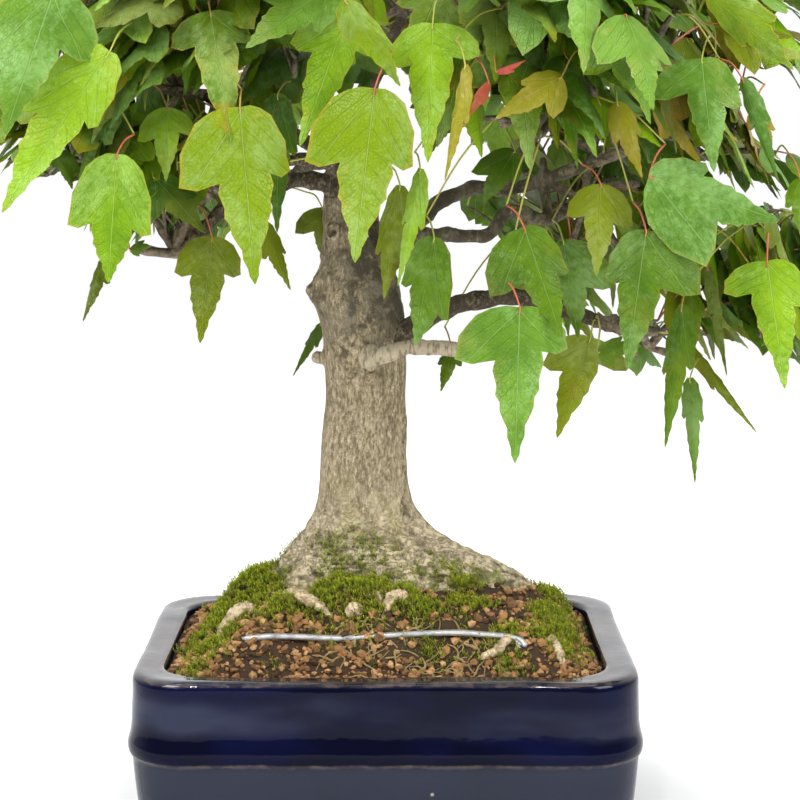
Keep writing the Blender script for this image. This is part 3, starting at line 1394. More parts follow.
        for index in np.nonzero(on_trunk & (points[:, 2] < 160 * MM) & (points[:, 1] < 0))[0]:
            gap = tree.find(points[index])[2] / MM
            if gap < 3.0:
                crease[index] += exp(-((gap / 0.55) ** 2))
                lip = 0.5 * exp(-(((gap - 1.3) / 0.7) ** 2))
                push[index] += -0.9 * exp(-((gap / 0.6) ** 2)) + lip
        points += normals * (push * MM)[:, None]
        return np.clip(crease, 0, 1)

    def dress(self, wood: Piece) -> None:
        """Let the fused timber stand for the trunk and every limb."""
        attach(wood, "root")
        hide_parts("trunk", *LIMBS)


# ---------------------------------------------------------------- crown


@dataclass(frozen=True)
class Space:
    """The space of one mass of foliage: its carrier, middle and radius in mm."""

    carrier: str
    middle: tuple
    radius: float


SPACES = {
    "foliage_left_low": Space("bough_left_low", (-104, -22, 238), 66),
    "foliage_left_high": Space("bough_left", (-106, 2, 326), 76),
    "foliage_left_front": Space("bough_left_front", (-50, -78, 290), 70),
    "foliage_left_back": Space("bough_left_back", (-76, 84, 268), 72),
    "foliage_top": Space("leader", (-10, 0, 386), 77),
    "foliage_top_right": Space("bough_top_right", (80, 12, 360), 70),
    "foliage_top_back": Space("bough_top_back", (12, 94, 336), 72),
    "foliage_right_front": Space("bough_right_front", (60, -80, 294), 70),
    "foliage_right_low_front": Space("bough_low_front", (70, -72, 204), 64),
    "foliage_right_high": Space("bough_high_right", (124, -8, 284), 68),
    "foliage_right_low": Space("bough_low_right", (120, -14, 190), 66),
    "foliage_right_back": Space("bough_mid_right", (88, 84, 240), 72),
    "foliage_back": Space("bough_back", (-4, 104, 232), 68),
}
CENTRES = np.array([space.middle for space in SPACES.values()]) * MM
SIZES = np.array([space.radius for space in SPACES.values()]) * MM
HEART = np.array((0.0, 0.0, 245.0)) * MM


@dataclass(frozen=True)
class Placed:
    """A leaf with a place of its own: base and tip in mm, its two lobes, its tint."""

    base: tuple
    tip: tuple
    right: tuple
    left: tuple
    tint: Tint


def ray(spot: Point) -> Array:
    """Return the way from the eye through a point of its view, in pixels."""
    pitch = radians(EYE_PITCH)
    ahead = np.array((0.0, cos(pitch), -sin(pitch)))
    right = np.array((1.0, 0.0, 0.0))
    upward = np.cross(right, ahead)
    middle = VIEW_WIDTH / 2
    return ahead + right * (spot[0] - middle) / EYE_REACH - upward * (spot[1] - middle) / EYE_REACH


def placed(base: Point, tip: Point, lobe: Point, other: Point, depths: Point, tint: Tint) -> Placed:
    """Return the leaf that the eye sees at some points of its view.

    Args:
        base: where the blade meets its stalk, in pixels.
        tip: the blade's tip, in pixels.
        lobe: the tip of one side lobe, in pixels.
        other: the tip of the other side lobe, in pixels.
        depths: the places of base and tip in Y, in cm, chosen by hand.
        tint: the leaf's colours.

    Returns:
        The leaf, to a tenth of a millimetre and a hundredth of its length.
    """
    ends = []
    for spot, depth in ((base, depths[0]), (tip, depths[1])):
        way = ray(spot)
        ends.append(EYE + way * ((depth / 100 - EYE[1]) / way[1]))
    along = ends[1] - ends[0]
    length = np.linalg.norm(along)
    along = along / length
    face = unit(EYE - ends[0])
    face = unit(face - along * (face @ along))
    across = np.cross(along, face)
    lobes = []
    for spot in (lobe, other):
        way = ray(spot)
        arm = EYE + way * (((ends[0] - EYE) @ face) / (way @ face)) - ends[0]
        lobes.append((float(arm @ across / length), float(arm @ along / length)))
    (right, high), (left, low) = sorted(lobes, reverse=True)
    start, end = (tuple(round(float(v) / MM, 1) for v in point) for point in ends)
    return Placed(start, end, (round(right, 2), round(high, 2)), (round(-left, 2), round(low, 2)), tint)


PLACED = tuple(placed(*row) for row in (
    ((210, 11), (231, 143), (171, 42), (251, 33), (-9, -10), Tint.YELLOW),
    ((117, 154), (108, 281), (68, 222), (150, 232), (-9, -10), Tint.FRESH),
    ((240, 107), (255, 283), (179, 182), (290, 166), (-9.5, -10.5), Tint.YELLOW),
    ((212, 237), (200, 342), (175, 270), (240, 272), (-3, -4), Tint.OLIVE),
    ((167, 107), (166, 179), (138, 136), (195, 130), (-6, -7), Tint.FRESH),
    ((110, 51), (1, 212), (20, 100), (96, 124), (-10, -11), Tint.FRESH),
    ((55, -12), (5, 133), (-35, 60), (94, 56), (-11, -12), Tint.GREY),
    ((345, 20), (300, 144), (291, 38), (378, 51), (-8.5, -9.5), Tint.FRESH),
    ((375, 88), (355, 260), (306, 153), (412, 160), (-10, -11.5), Tint.YELLOW),
    ((335, -18), (247, 46), (262, -14), (322, 30), (-9, -10), Tint.GREY),
    ((153, 176), (204, 231), (150, 215), (195, 190), (-4, -5), Tint.DEEP),
    ((102, 258), (83, 320), (90, 285), (110, 280), (-2, -3), Tint.OLIVE),
    ((278, 93), (277, 231), (255, 150), (297, 150), (-6, -7), Tint.DEEP),
    ((265, 222), (290, 288), (262, 255), (285, 250), (-2, -3), Tint.OLIVE),
    ((322, 207), (324, 263), (295, 231), (340, 235), (3, 2.5), Tint.OLIVE),
    ((321, 323), (293, 375), (306, 342), (318, 345), (2, 1), Tint.DEEP),
    ((345, 0), (400, 85), (345, 38), (395, 48), (-10.5, -11), Tint.YELLOW),
    ((433, 23), (428, 160), (390, 58), (480, 50), (-9, -10), Tint.FRESH),
    ((465, 64), (445, 179), (452, 115), (468, 120), (-10.5, -11.2), Tint.BRONZE),
    ((562, 76), (497, 117), (525, 78), (556, 115), (-9, -10), Tint.BRONZE),
    ((496, 71), (525, 60), (506, 66), (512, 72), (-9, -9.5), Tint.YOUNG),
    ((515, 150), (484, 201), (474, 166), (517, 182), (-5, -6), Tint.DEEP),
    ((434, 237), (415, 344), (402, 281), (448, 318), (-7, -8), Tint.DEEP),
    ((420, 168), (398, 283), (402, 220), (424, 225), (-8, -9.5), Tint.FRESH),
    ((400, 185), (384, 297), (376, 250), (410, 250), (-6, -7), Tint.OLIVE),
    ((524, 227), (562, 337), (489, 292), (568, 268), (-8, -9), Tint.DEEP),
    ((520, 307), (515, 462), (455, 352), (568, 344), (-8.5, -10), Tint.GREY),
    ((601, 184), (596, 274), (567, 212), (633, 222), (-7, -8), Tint.OLIVE),
    ((646, 230), (627, 369), (605, 275), (701, 291), (-8, -9), Tint.DEEP),
    ((563, 240), (578, 337), (553, 285), (615, 282), (-3, -4), Tint.DEEP),
    ((591, 337), (557, 437), (543, 362), (627, 368), (-2, -3), Tint.OLIVE),
    ((649, 176), (780, 219), (705, 161), (706, 263), (-8.5, -9.5), Tint.GREY),
    ((702, 58), (714, 170), (649, 92), (742, 100), (-8, -9), Tint.GREY),
    ((742, 78), (778, 180), (752, 125), (770, 118), (-7, -8), Tint.GREY),
    ((767, 261), (785, 388), (724, 290), (812, 300), (-7.5, -8.5), Tint.FRESH),
    ((682, 305), (665, 447), (662, 370), (694, 365), (-4, -5), Tint.DEEP),
    ((690, 378), (695, 483), (682, 415), (704, 418), (-2, -3), Tint.DEEP),
    ((688, 342), (757, 432), (712, 388), (722, 380), (-1, -2), Tint.OLIVE),
    ((708, 265), (727, 375), (708, 315), (722, 312), (-3, -4), Tint.OLIVE),
    ((708, -8), (793, 68), (742, 45), (775, 12), (-8, -9), Tint.YELLOW),
    ((617, 102), (642, 176), (612, 140), (640, 130), (-7, -8), Tint.BRONZE),
    ((690, 293), (696, 344), (680, 318), (706, 316), (0, -0.5), Tint.YELLOW),
    ((452, 352), (441, 390), (438, 362), (462, 364), (1, 0), Tint.YELLOW),
    ((800, 178), (803, 240), (785, 205), (818, 205), (-5, -6), Tint.FRESH),
    ((489, 82), (468, 116), (474, 96), (484, 104), (-9, -9.5), Tint.YOUNG),
    ((598, 352), (640, 345), (612, 366), (618, 336), (-3, -4), Tint.DEEP),
    ((60, 150), (72, 188), (52, 166), (80, 168), (-3, -3.5), Tint.DEEP),
    ((130, 250), (150, 246), (138, 256), (141, 240), (-2, -2.5), Tint.DEEP),
    ((782, 330), (762, 345), (775, 345), (768, 330), (-4, -4.5), Tint.DEEP),
    ((755, 110), (772, 150), (748, 128), (775, 128), (-6, -6.5), Tint.BRONZE),
))


@dataclass
class Blade:
    """One leaf blade: its frame, size, lobes and how it bends."""

    base: Array
    along: Array
    face: Array
    length: float
    right: tuple
    left: tuple
    fold: float
    curl: float
    phase: float
    wave: float = 0.03

    CANON = (0.38, 0.42)
    ROWS = 23
    SHOULDER = (
        (0.12, 0.002), (0.27, -0.006), (0.42, 0.006), (0.57, -0.006), (0.72, 0.009), (0.87, -0.005),
        (1.0, 0.007),
    )

    @staticmethod
    def side(lobe: tuple) -> tuple[Array, Array, Array]:
        """Return one side's toothed edge from base to tip, and where the midrib meets it.

        Args:
            lobe: the side lobe's tip, across and along, in leaf lengths.

        Returns:
            Across, along, and the midrib's place, one for each point of the edge.
        """
        u, v = lobe
        notch = (min(0.150, 0.52 * u + 0.01), 0.84 * v + 0.075)
        across, along, rib = [0.005], [0.0], [0.0]
        for share, tooth in Blade.SHOULDER:
            a, b, c = 3 * (1 - share) ** 2 * share, 3 * (1 - share) * share**2, share**3
            across.append(a * 0.66 * u + b * 1.04 * u + c * u + tooth)
            along.append(-a * 0.05 + b * 0.42 * v + c * v)
            rib.append(notch[1] * 0.55 * share)
        for share, tooth in ((0.40, 0.007), (0.75, -0.006)):
            across.append(u + (notch[0] - u) * share**0.95)
            along.append(v + (notch[1] - v) * share + tooth + 0.026 * sin(pi * share))
            rib.append(notch[1] * (0.55 + 0.40 * share))
        across.append(notch[0])
        along.append(notch[1])
        rib.append(notch[1])
        for step in range(1, 12):
            share = step / 12
            wide = notch[0] * (1.0 + 0.22 * sin(pi * min(1.0, share * 1.5))) * (1.0 - share) ** 0.80
            tooth = (-0.007, 0.013, 0.002, -0.008, 0.011)[step % 5]
            across.append(max(wide + tooth * (1.0 - 0.5 * share) * min(1.0, 5 * u), 0.008))
            along.append(notch[1] + (1.0 - notch[1]) * (share + (0.004, 0.016, 0.002)[step % 3]))
            rib.append(notch[1] + (1.0 - notch[1]) * share * 0.985)
        across.append(0.002)
        along.append(1.0)
        rib.append(0.996)
        return np.array(across), np.array(along), np.array(rib)

    def flat(self, right: tuple, left: tuple) -> Array:
        """Return the blade's flat points, rows from base to tip, five across."""
        ur, vr, mr = self.side(right)
        ul, vl, ml = self.side(left)
        mid = (mr + ml) / 2
        zero = np.zeros_like(mid)
        columns = (
            np.stack((-ul, vl), 1),
            np.stack((-ul * 0.52, ml + (vl - ml) * 0.52), 1),
            np.stack((zero, mid), 1),
            np.stack((ur * 0.52, mr + (vr - mr) * 0.52), 1),
            np.stack((ur, vr), 1),
        )
        return np.stack(columns, 1).reshape(-1, 2)

    def axes(self) -> tuple[Array, Array]:
        """Return which way the blade is wide and which way it faces."""
        across = unit(np.cross(self.along, self.face))
        return across, unit(np.cross(across, self.along))

    def shape(self) -> tuple[Array, Array]:
        """Return the bent blade's vertices in space, and its own flat coordinates."""
        flat = self.flat(self.right, self.left)
        x, y = flat[:, 0], flat[:, 1]
        rise = -self.fold * np.abs(x) - self.curl * y * y - 0.45 * x * x
        rise += self.wave * np.sin(9.0 * y + self.phase + 3.0 * np.sign(x)) * np.clip(np.abs(x) * 7, 0, 1)
        across, face = self.axes()
        spots = self.base + (across * x[:, None] + self.along * y[:, None] + face * rise[:, None]) * self.length
        pattern = self.flat(self.CANON, self.CANON) + (0.5, 0.0)
        return spots, pattern

    @staticmethod
    def faces() -> list[tuple]:
        """Return the faces between the rows."""
        result = []
        for row in range(Blade.ROWS - 1):
            for column in range(4):
                a = row * 5 + column
                result.append((a, a + 1, a + 6, a + 5))
        return result

    def samples(self) -> Array:
        """Return a few points that stand for the blade."""
        across, face = self.axes()
        lobes = (self.right, (-self.left[0], self.left[1]))
        result = []
        for u, v in ((0, 0), (0, 0.35), (0, 0.7), (0, 1.0), *lobes, (0.12, 0.6), (-0.12, 0.6)):
            sunk = face * (self.curl * v * v + self.fold * abs(u))
            result.append(self.base + (across * u + self.along * v - sunk) * self.length)
        return np.array(result)


@dataclass(frozen=True)
class Sky:
    """The open places of the crown, seen from in front, that no random leaf may close."""

    hem: tuple = (
        (-60, 170), (0, 190), (60, 175), (75, 225), (110, 262), (150, 235), (180, 275), (235, 270),
        (270, 245), (300, 190), (318, 150), (345, 120), (400, 130), (418, 175), (436, 205), (462, 270),
        (490, 330), (560, 345), (610, 352), (650, 385), (700, 375), (740, 345), (800, 372), (860, 372),
    )
    holes: tuple = (
        ((418, 236), (470, 246), (522, 244), (500, 288), (452, 312), (424, 330), (410, 300)),
        ((440, 140), (474, 146), (470, 176), (436, 204), (420, 196)),
        ((738, 66), (806, 74), (806, 134), (786, 150), (748, 134)),
        ((196, 72), (226, 92), (214, 112), (192, 104)),
        ((600, 300), (640, 318), (676, 296), (650, 282)),
    )

    def closes(self, spots: Array) -> bool:
        """Tell whether any of some points of the view falls in open sky."""
        hem = np.interp(spots[:, 0], [p[0] for p in self.hem], [p[1] for p in self.hem])
        if (spots[:, 1] > hem).any():
            return True
        return any(self.inside(spot, hole) for hole in self.holes for spot in spots)

    @staticmethod
    def inside(spot: Array, hole: tuple) -> bool:
        """Tell whether a point lies in a polygon."""
        within = False
        for (ax, ay), (bx, by) in zip(hole, hole[1:] + hole[:1]):
            if (ay > spot[1]) != (by > spot[1]) and spot[0] < (bx - ax) * (spot[1] - ay) / (by - ay) + ax:
                within = not within
        return within


@dataclass
class Spray:
    """A shoot that can bear leaves: where it is, which way it runs and its tint."""

    spot: Array
    heading: Array
    tint: Tint
    red: float
    bears: bool = False


class Mass:
    """One mass of foliage: its stem, twigs that branch by rule, and shoots in pairs."""

    SITES = 150
    NODES = 20
    SPACING = 0.27

    def __init__(self, name: str, timber: Timber, crown: "Crown"):
        """Start at the tip of the bough that carries the mass."""
        self.name = name
        self.space = SPACES[name]
        self.place = list(SPACES).index(name)
        self.middle = np.array(self.space.middle) * MM
        self.radius = self.space.radius * MM
        self.chance = random.Random(name)
        self.crown = crown
        path, radii = timber.limb(self.space.carrier)
        self.start = path[-1]
        self.heading = unit(path[-1] - path[-3])
        self.width = radii[-1]
        self.nodes: list[tuple[Array, float]] = []
        self.sprays: list[Spray] = []
        self.shoots_grown: list[tuple[Array, list[Spray]]] = []

    def random_way(self) -> Array:
        """Return a random direction."""
        return unit(np.array([self.chance.gauss(0, 1) for _ in range(3)]))

    def inside(self, points: Array) -> bool:
        """Tell whether points lie in the mass's own space, clear of its neighbours'."""
        power = ((points[:, None, :] - CENTRES[None, :, :]) ** 2).sum(axis=2) - SIZES**2
        own = power[:, self.place]
        if own.max() > 0.0:
            return False
        others = np.delete(power, self.place, axis=1)
        spans = np.delete(np.linalg.norm(CENTRES - CENTRES[self.place], axis=1), self.place)
        return ((others - own[:, None]) / (2 * spans)).min() > 0.0

    def grow(self) -> None:
        """Grow the stem, the twigs and the shoots."""
        inward = unit(self.middle - self.start)
        first = self.start + self.heading * 9.0 * MM
        second = first + unit(self.heading * 0.5 + inward) * 14.0 * MM
        self.crown.twig(np.array((self.start - self.heading * 1.5 * MM, first, second)),
                        (self.width * 0.98, self.width * 0.86, 1.6 * MM), self.chance)
        self.nodes = [(first, 9.0 * MM), (second, 23.0 * MM)]
        sites = []
        for _ in range(self.SITES):
            sites.append(self.middle + self.random_way() * self.radius * self.chance.uniform(0.15, 0.80))
        sites.sort(key=lambda p: np.linalg.norm(p - self.start))
        for site in sites:
            if len(self.nodes) >= self.NODES:
                break
            if min(np.linalg.norm(site - node) for node, _ in self.nodes) > self.radius * self.SPACING:
                self.reach(site)

    def reach(self, site: Array) -> None:
        """Grow a bent twig from the best node to a site, with shoots along it."""
        ranked = sorted(self.nodes, key=lambda n: np.linalg.norm(site - n[0]) + 0.35 * n[1])
        for node, travelled in ranked[:3]:
            run = np.linalg.norm(site - node)
            if run < 7.0 * MM:
                continue
            middle = node + (site - node) * 0.5 + np.array((0, 0, run * self.chance.uniform(0.02, 0.16)))
            middle = middle + self.random_way() * run * 0.07
            thick = max(0.75 * MM, 1.9 * MM * (1.0 - travelled / (self.radius * 2.0)))
            path = spline((node, middle, site), 9)
            if not self.inside(path) or self.crown.blocked(path, 2.5 * MM) or self.crown.in_open_sky(path):
                continue
            self.crown.twig(path, np.linspace(thick, max(0.6 * MM, thick * 0.7), 9), self.chance)
            self.nodes.append((site, travelled + run))
            self.shoots(path)
            return

    def shoots(self, path: Array) -> None:
        """Grow opposite pairs of fine shoots along a twig, each a spray of leaves."""
        for share in (0.35, 0.7, 1.0):
            index = min(int(share * (len(path) - 1)), len(path) - 2)
            spot, along = path[index + (share == 1.0)], unit(path[index + 1] - path[index])
            across = unit(np.cross(along, self.random_way()))
            for sign in (-1, 1):
                outward = unit(spot - HEART)
                way = unit(along * 0.55 + across * sign * 0.9 + outward * 0.45 + np.array((0, 0, 0.25)))
                length = self.chance.uniform(8, 20) * MM
                halfway = spot + way * length * 0.5 + np.array((0, 0, 0.8 * MM))
                shoot = spline((spot, halfway, spot + way * length), 6)
                free = self.inside(shoot) and not self.crown.blocked(shoot, 2.0 * MM)
                if not free or self.crown.in_open_sky(shoot):
                    continue
                tint = self.crown.deal(shoot[-1], self.chance)
                red = self.chance.random()
                borne = [Spray(shoot[-1], way, tint, red)]
                if length > 12 * MM:
                    borne.append(Spray(shoot[3], way, tint, red))
                self.sprays += borne
                self.shoots_grown.append((shoot, borne))


@dataclass
class Crown:
    """The whole crown: every mass grown by the rule, the placed leaves, and the rest."""

    timber: Timber
    wanted: int = 84
    rounds: int = 11
    covering_rounds: int = 5
    leaf_gap: float = 8.0 * MM
    bark_gap: float = 2.5 * MM
    patch: float = 13.0  # pixels
    bare_trunk: tuple = (318, 412, 205)  # left, right and top, in pixels
    sky: Sky = field(default_factory=Sky)
    twigs: Heap = field(default_factory=Heap)
    stalks: Heap = field(default_factory=Heap)
    leaves: dict = field(default_factory=lambda: {tint: Heap() for tint in Tint})
    wood: list = field(default_factory=list)
    blades: list = field(default_factory=list)
    placed: list = field(default_factory=list)
    covered: set = field(default_factory=set)

    def __post_init__(self) -> None:
        """Collect the limbs' points."""
        points, radii = [], []
        for name in LIMBS:
            path, widths = self.timber.limb(name)
            points += list(path)
            radii += list(widths)
        for height in np.arange(84, 216, 3.0):
            for turn in np.linspace(0, 2 * pi, 24, endpoint=False):
                points.append(self.timber.surface(turn, height))
                radii.append(0.0)
        self.solid = np.array(points)
        self.solid_radii = np.array(radii)
        for leaf in PLACED:
            ends = np.array((leaf.base, leaf.tip)) * MM
            self.placed.append((in_view(ends), ends[:, 1].min()))
        self.low = np.array(CAD_BOX[0]) - 6 * MM
        self.high = np.array(CAD_BOX[1]) + 6 * MM

    def blocked(self, samples: Array, room: float) -> bool:
        """Tell whether samples come near the trunk or a limb."""
        gaps = np.linalg.norm(samples[1:, None, :] - self.solid[None, :, :], axis=2) - self.solid_radii
        return bool(gaps.min() < room)

    def in_open_sky(self, samples: Array) -> bool:
        """Tell whether samples would show in the crown's open places, or stand before a placed leaf."""
        return self.sky.closes(in_view(samples)) or self.hides_placed(samples, 14 * MM, 0.38)

    def twig(self, path: Array, radii: Iterable[float], chance: random.Random) -> None:
        """Add one twig with its buds' swellings."""
        radii = np.array(list(radii))
        if len(path) == 3:
            path = spline(path, 9)
            radii = np.interp(np.linspace(0, 1, 9), (0, 0.5, 1), radii)
        swell = np.array([chance.choice((0.0, 0.0, 0.28)) for _ in radii])
        self.twigs.put(*tube(path, radii * (1.0 + swell), 6, chance.uniform(0, 3)))
        self.wood += [tuple(p) for p in path]

    def deal(self, spot: Array, chance: random.Random) -> Tint:
        """Return the tint of a spray by its place: yellower to the left and in front, deeper behind."""
        x, y, _ = spot / MM
        if y > 10:
            weights = (5, 6, 2, 3, 1, 0, 0)
        elif x < -20:
            weights = (6, 3, 2, 3, 4, 0, 0)
        elif x < 50:
            weights = (5, 4, 2, 2, 2, 1, 0.3)
        else:
            weights = (5, 4, 4, 2, 1, 0.8, 0.2)
        return chance.choices(list(Tint), weights)[0]

    def add_leaf(self, blade: Blade, root: Array, tint: Tint, red: float, chance: random.Random) -> None:
        """Add a blade and the stalk that carries it."""
        spots, pattern = blade.shape()
        edge = np.tile((1.0, 0.5, 0.0, 0.5, 1.0), Blade.ROWS)
        self.leaves[tint].put(spots, Blade.faces(), blade=pattern, tone=chance.uniform(0.0, 1.0), rim=edge)
        self.blades.append(spots.reshape(Blade.ROWS, 5, 3)[11, 2])
        span = blade.base - root
        middle = root + span * 0.55 + np.array((0, 0, np.linalg.norm(span) * 0.13))
        path = spline((root, middle, blade.base, blade.base + blade.along * blade.length * 0.05), 10)
        width = 0.34
        self.stalks.put(*tube(path, np.linspace(width * 1.2, width * 0.7, 10) * MM, 5), tone=red**1.6)

    def place_leaves(self) -> None:
        """Set the leaves that have a place of their own, each on a twig of the nearest wood."""
        chance = random.Random(3)
        for leaf in PLACED:
            base, tip = np.array(leaf.base) * MM, np.array(leaf.tip) * MM
            along = unit(tip - base)
            face = unit(EYE - base)
            face = unit(face - along * np.dot(face, along))
            face = unit(face + np.array((0, 0, 0.12)))
            length = float(np.linalg.norm(tip - base))
            narrow = min(leaf.right[0], leaf.left[0]) < 0.15
            blade = Blade(base, along, face, length, leaf.right, leaf.left, fold=0.5 if narrow else 0.32,
                          curl=0.09, wave=0.034, phase=chance.uniform(0, 6))
            wood = np.array(self.wood)
            behind = base + np.array((chance.uniform(-7, 7), chance.uniform(8, 15), chance.uniform(5, 11))) * MM
            gaps = np.linalg.norm(wood - behind, axis=1) + 0.1 * (wood[:, 2] < behind[2] - 6 * MM)
            gaps = gaps + 0.1 * (wood[:, 1] < behind[1] - 4 * MM)
            near = wood[gaps.argmin()]
            if np.linalg.norm(near - behind) > 12 * MM:
                middle = (near + behind) / 2 + np.array((0, 2.0, 3.0)) * MM
                path = spline((near, middle, behind), 9)
                self.stalks.put(*tube(path, np.linspace(0.42, 0.32, 9) * MM, 5), tone=0.35)
                near = behind
            self.add_leaf(blade, near, leaf.tint, chance.random(), chance)

    def hides_placed(self, samples: Array, room: float = 6 * MM, wide: float = 0.26) -> bool:
        """Tell whether samples would stand before a placed leaf or the bare trunk.

        Args:
            samples: the points of a leaf or a twig.
            room: how far behind a placed leaf they must stay.
            wide: how much of the leaf counts, in its lengths.

        Returns:
            Whether they would.
        """
        flat = in_view(samples)
        front = samples[:, 1].min()
        for (base, tip), depth in self.placed:
            if front > depth + room:
                continue
            run = tip - base
            share = np.clip(((flat - base) @ run) / (run @ run), 0, 1)
            gap = np.linalg.norm(flat - (base + share[:, None] * run), axis=1)
            if gap.min() < wide * np.linalg.norm(run):
                return True
        left, right, top = self.bare_trunk
        bare = (flat[:, 0] > left) & (flat[:, 0] < right) & (flat[:, 1] > top)
        return bool((bare & (samples[:, 1] < 12 * MM)).any())

    def hang(self, spray: Spray, mass: Mass, sign: int, fresh: bool) -> bool:
        """Hang one leaf of a spray.

        Args:
            spray: the shoot that bears it.
            mass: the mass it belongs to.
            sign: which side of the shoot.
            fresh: whether the leaf must cover a part of the crown that is still bare from in front.

        Returns:
            Whether there was room for it.
        """
        chance = mass.chance
        outward = unit((spray.spot - HEART) * (1.0, 1.0, 0.55))
        across = unit(np.cross(spray.heading, mass.random_way()))
        stalk = unit(spray.heading * 0.45 + across * sign + outward * 0.5 + np.array((0, 0, 0.25)))
        reach = chance.uniform(9, 25) * MM
        base = spray.spot + stalk * reach
        level = np.clip((spray.spot[2] - 250 * MM) / (140 * MM), 0, 1)
        fall = chance.uniform(0.60, 1.20) - 0.30 * level
        along = unit(outward * 0.55 + stalk * 0.35 + np.array((0, 0, -fall)) + mass.random_way() * 0.30)
        face = unit(outward * 0.9 + np.array((0, 0, 0.50)) + mass.random_way() * 0.35)
        face = unit(face - along * np.dot(face, along))
        front = spray.spot[1] < -20 * MM
        length = chance.uniform(30, 48) * MM if front else chance.uniform(24, 42) * MM
        if spray.tint is Tint.YOUNG:
            length *= 0.5
        lobe = chance.uniform(0.30, 0.42), chance.uniform(0.26, 0.52)
        blade = Blade(base, along, face, length, lobe, (lobe[0] + chance.uniform(-0.05, 0.05), lobe[1]),
                      fold=chance.uniform(0.05, 0.5), curl=chance.uniform(0.05, 0.28),
                      phase=chance.uniform(0, 6))
        samples = blade.samples()
        if (samples < self.low).any() or (samples > self.high).any() or not mass.inside(samples):
            return False
        if self.sky.closes(in_view(samples)) or self.blocked(samples, self.bark_gap):
            return False
        if self.hides_placed(samples):
            return False
        if self.blades and np.linalg.norm(np.array(self.blades) - samples[1], axis=1).min() < self.leaf_gap:
            return False
        cells = {tuple(cell) for cell in (in_view(samples[1:]) // self.patch).astype(int)}
        if fresh and len(cells - self.covered) < 3:
            return False
        self.covered |= cells
        self.add_leaf(blade, spray.spot, spray.tint, spray.red, chance)
        return True

    def grow(self) -> None:
        """Grow every mass, set the placed leaves, then hang leaves in turn on every spray."""
        masses = [Mass(name, self.timber, self) for name in SPACES]
        for mass in masses:
            mass.grow()
        self.extra_wood()
        self.place_leaves()
        counts = dict.fromkeys(SPACES, 0)
        for turn in range(self.rounds):
            for mass in masses:
                mass.chance.shuffle(mass.sprays)
                for spray in mass.sprays:
                    for sign in (-1, 1):
                        fresh = turn < self.covering_rounds
                        if counts[mass.name] < self.wanted and self.hang(spray, mass, sign, fresh):
                            counts[mass.name] += 1
                            spray.bears = True
        for mass in masses:
            for shoot in mass.shoots_grown:
                if any(spray.bears for spray in shoot[1]):
                    self.twig(shoot[0], np.linspace(0.62, 0.42, 6) * MM, mass.chance)
        LOG.info("crown: %d placed leaves, by rule %s", len(PLACED), counts)

    def extra_wood(self) -> None:
        """Add the old twigs and the cut stub that show bare in the crown."""
        chance = random.Random(8)
        for way, radii in (
            (((-70, 2, 275), (-84, 0, 277), (-97, -2, 277.5), (-108, -3, 271), (-117, -4, 266)),
             (2.2, 2.0, 1.9, 1.5, 1.1)),
            (((-97, -2, 277), (-98, -2, 281)), (2.1, 2.0)),
            (((-72, -15, 222), (-80, -8, 238), (-87, -4, 246.5), (-105, -6, 256)), (2.2, 2.0, 1.7, 1.1)),
            (((40, 9, 300), (42, 6, 312), (50, 4, 322)), (1.8, 1.6, 1.2)),
        ):
            path = spline(way, 14) * MM
            widths = np.interp(np.linspace(0, 1, 14), np.linspace(0, 1, len(radii)), radii) * MM
            self.twig(path, widths, chance)

    def build(self) -> list[Piece]:
        """Grow the crown and dress its pieces."""
        self.grow()
        bark = WoodFinish("twig_bark", (0.060, 0.043, 0.028), (0.290, 0.225, 0.145), 380)
        twigs = self.twigs.mesh_object("crown_twigs", bark.material())
        stalks = self.stalks.mesh_object("crown_stalks", StalkFinish().material())
        items = [twigs, stalks]
        for tint, heap in self.leaves.items():
            if heap.count:
                items.append(heap.mesh_object("leaves_" + tint.name.lower(), LeafFinish(tint).material()))
        for item in items:
            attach(item, "root")
            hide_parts(*SPACES)
        return items


# ---------------------------------------------------------------- studio


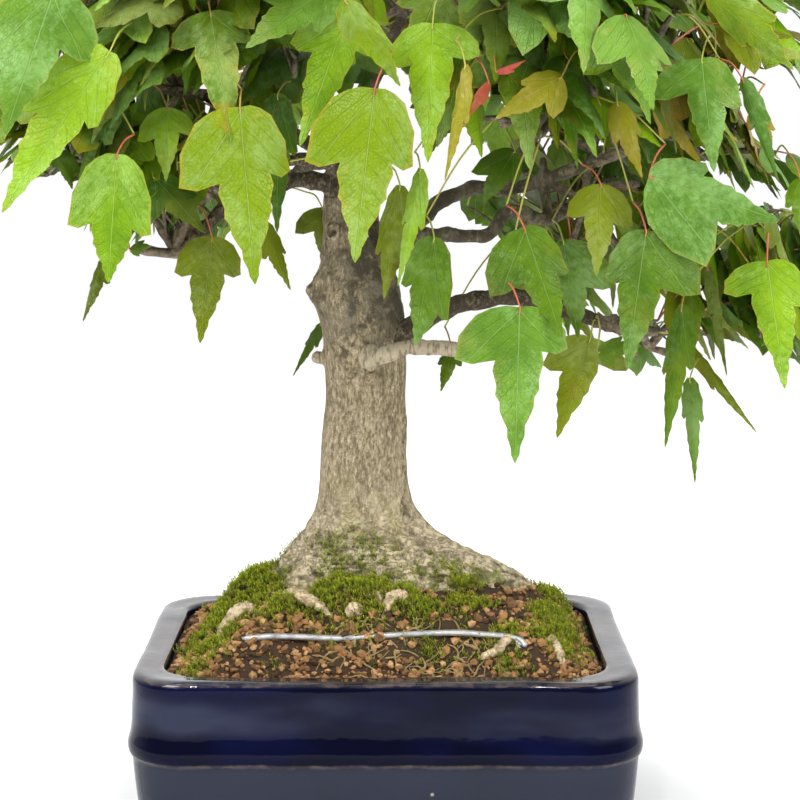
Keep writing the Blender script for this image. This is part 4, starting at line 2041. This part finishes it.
@dataclass
class Studio:
    """The camera, the white floor and the soft lights."""

    floor: float = 2.9
    room_side: Colour = (0.42, 0.42, 0.44)
    lights: tuple = (
        ("key", (-0.85, -0.85, 1.15), 0.7, 14.0),
        ("fill", (0.95, -0.80, 0.95), 0.7, 12.0),
        ("top", (0.0, 0.15, 1.40), 1.0, 13.0),
        ("spot_left", (-0.25, -1.20, 1.10), 0.06, 2.6),
        ("spot_right", (0.21, -1.20, 1.10), 0.06, 2.2),
    )

    def build(self) -> None:
        """Set the whole studio."""
        scene = bpy.context.scene
        scene.view_settings.view_transform = "Standard"
        data = bpy.data.cameras.new("eye")
        data.lens = EYE_LENS
        data.sensor_width = EYE_SENSOR
        data.clip_start = 0.01
        data.clip_end = 60.0
        camera = bpy.data.objects.new("eye", data)
        camera.location = tuple(EYE)
        camera.rotation_euler = (radians(90.0 - EYE_PITCH), 0.0, 0.0)
        scene.collection.objects.link(camera)
        scene.camera = camera
        scene.world = bpy.data.worlds.new("white_room")
        room = Paint("white_room", scene.world)
        _, ahead, _ = room.axes(room.add("TexCoord", "Generated"))
        walls = room.mix(ahead.between(-0.45, 0.45), self.room_side, (1.0, 1.0, 1.0))
        join(room.tree, walls, room.shader.inputs["Color"])
        for name, place, size, power in self.lights:
            lamp = bpy.data.lights.new(name, "AREA")
            lamp.shape = "SQUARE"
            lamp.size = size
            lamp.energy = power
            item = bpy.data.objects.new(name, lamp)
            item.location = place
            item.rotation_euler = (Vector((0.0, 0.0, 0.2)) - Vector(place)).to_track_quat("-Z", "Y").to_euler()
            scene.collection.objects.link(item)
        only()
        bpy.ops.mesh.primitive_plane_add(size=self.floor, location=(0, 0, 0))
        ground = bpy.context.object
        ground.name = "studio_floor"
        paint = Paint("studio_white")
        grain = paint.noise(paint.place(), 3.0, 2)
        paint.colour = (1.0, 1.0, 1.0)
        ground.data.materials.append(paint.finish(0.8 + 0.1 * grain, Specular_IOR_Level=0.0))


def main() -> None:
    """Build the bonsai piece by piece, then the studio."""
    logging.basicConfig(level=logging.INFO, format="%(name)s: %(message)s")
    pot = Pot()
    shell = pot.build()
    pot.dress(shell)
    LOG.info("pot: %d faces", len(shell.data.polygons))
    timber = Timber()
    wood = timber.build()
    timber.dress(wood)
    ground = Ground(pot, timber)
    for item in ground.build() + GroundRoots(ground).build() + Crown(timber).build():
        LOG.info("%s: %d faces", item.name, len(item.data.polygons))
    Studio().build()


if __name__ == "__main__":
    main()
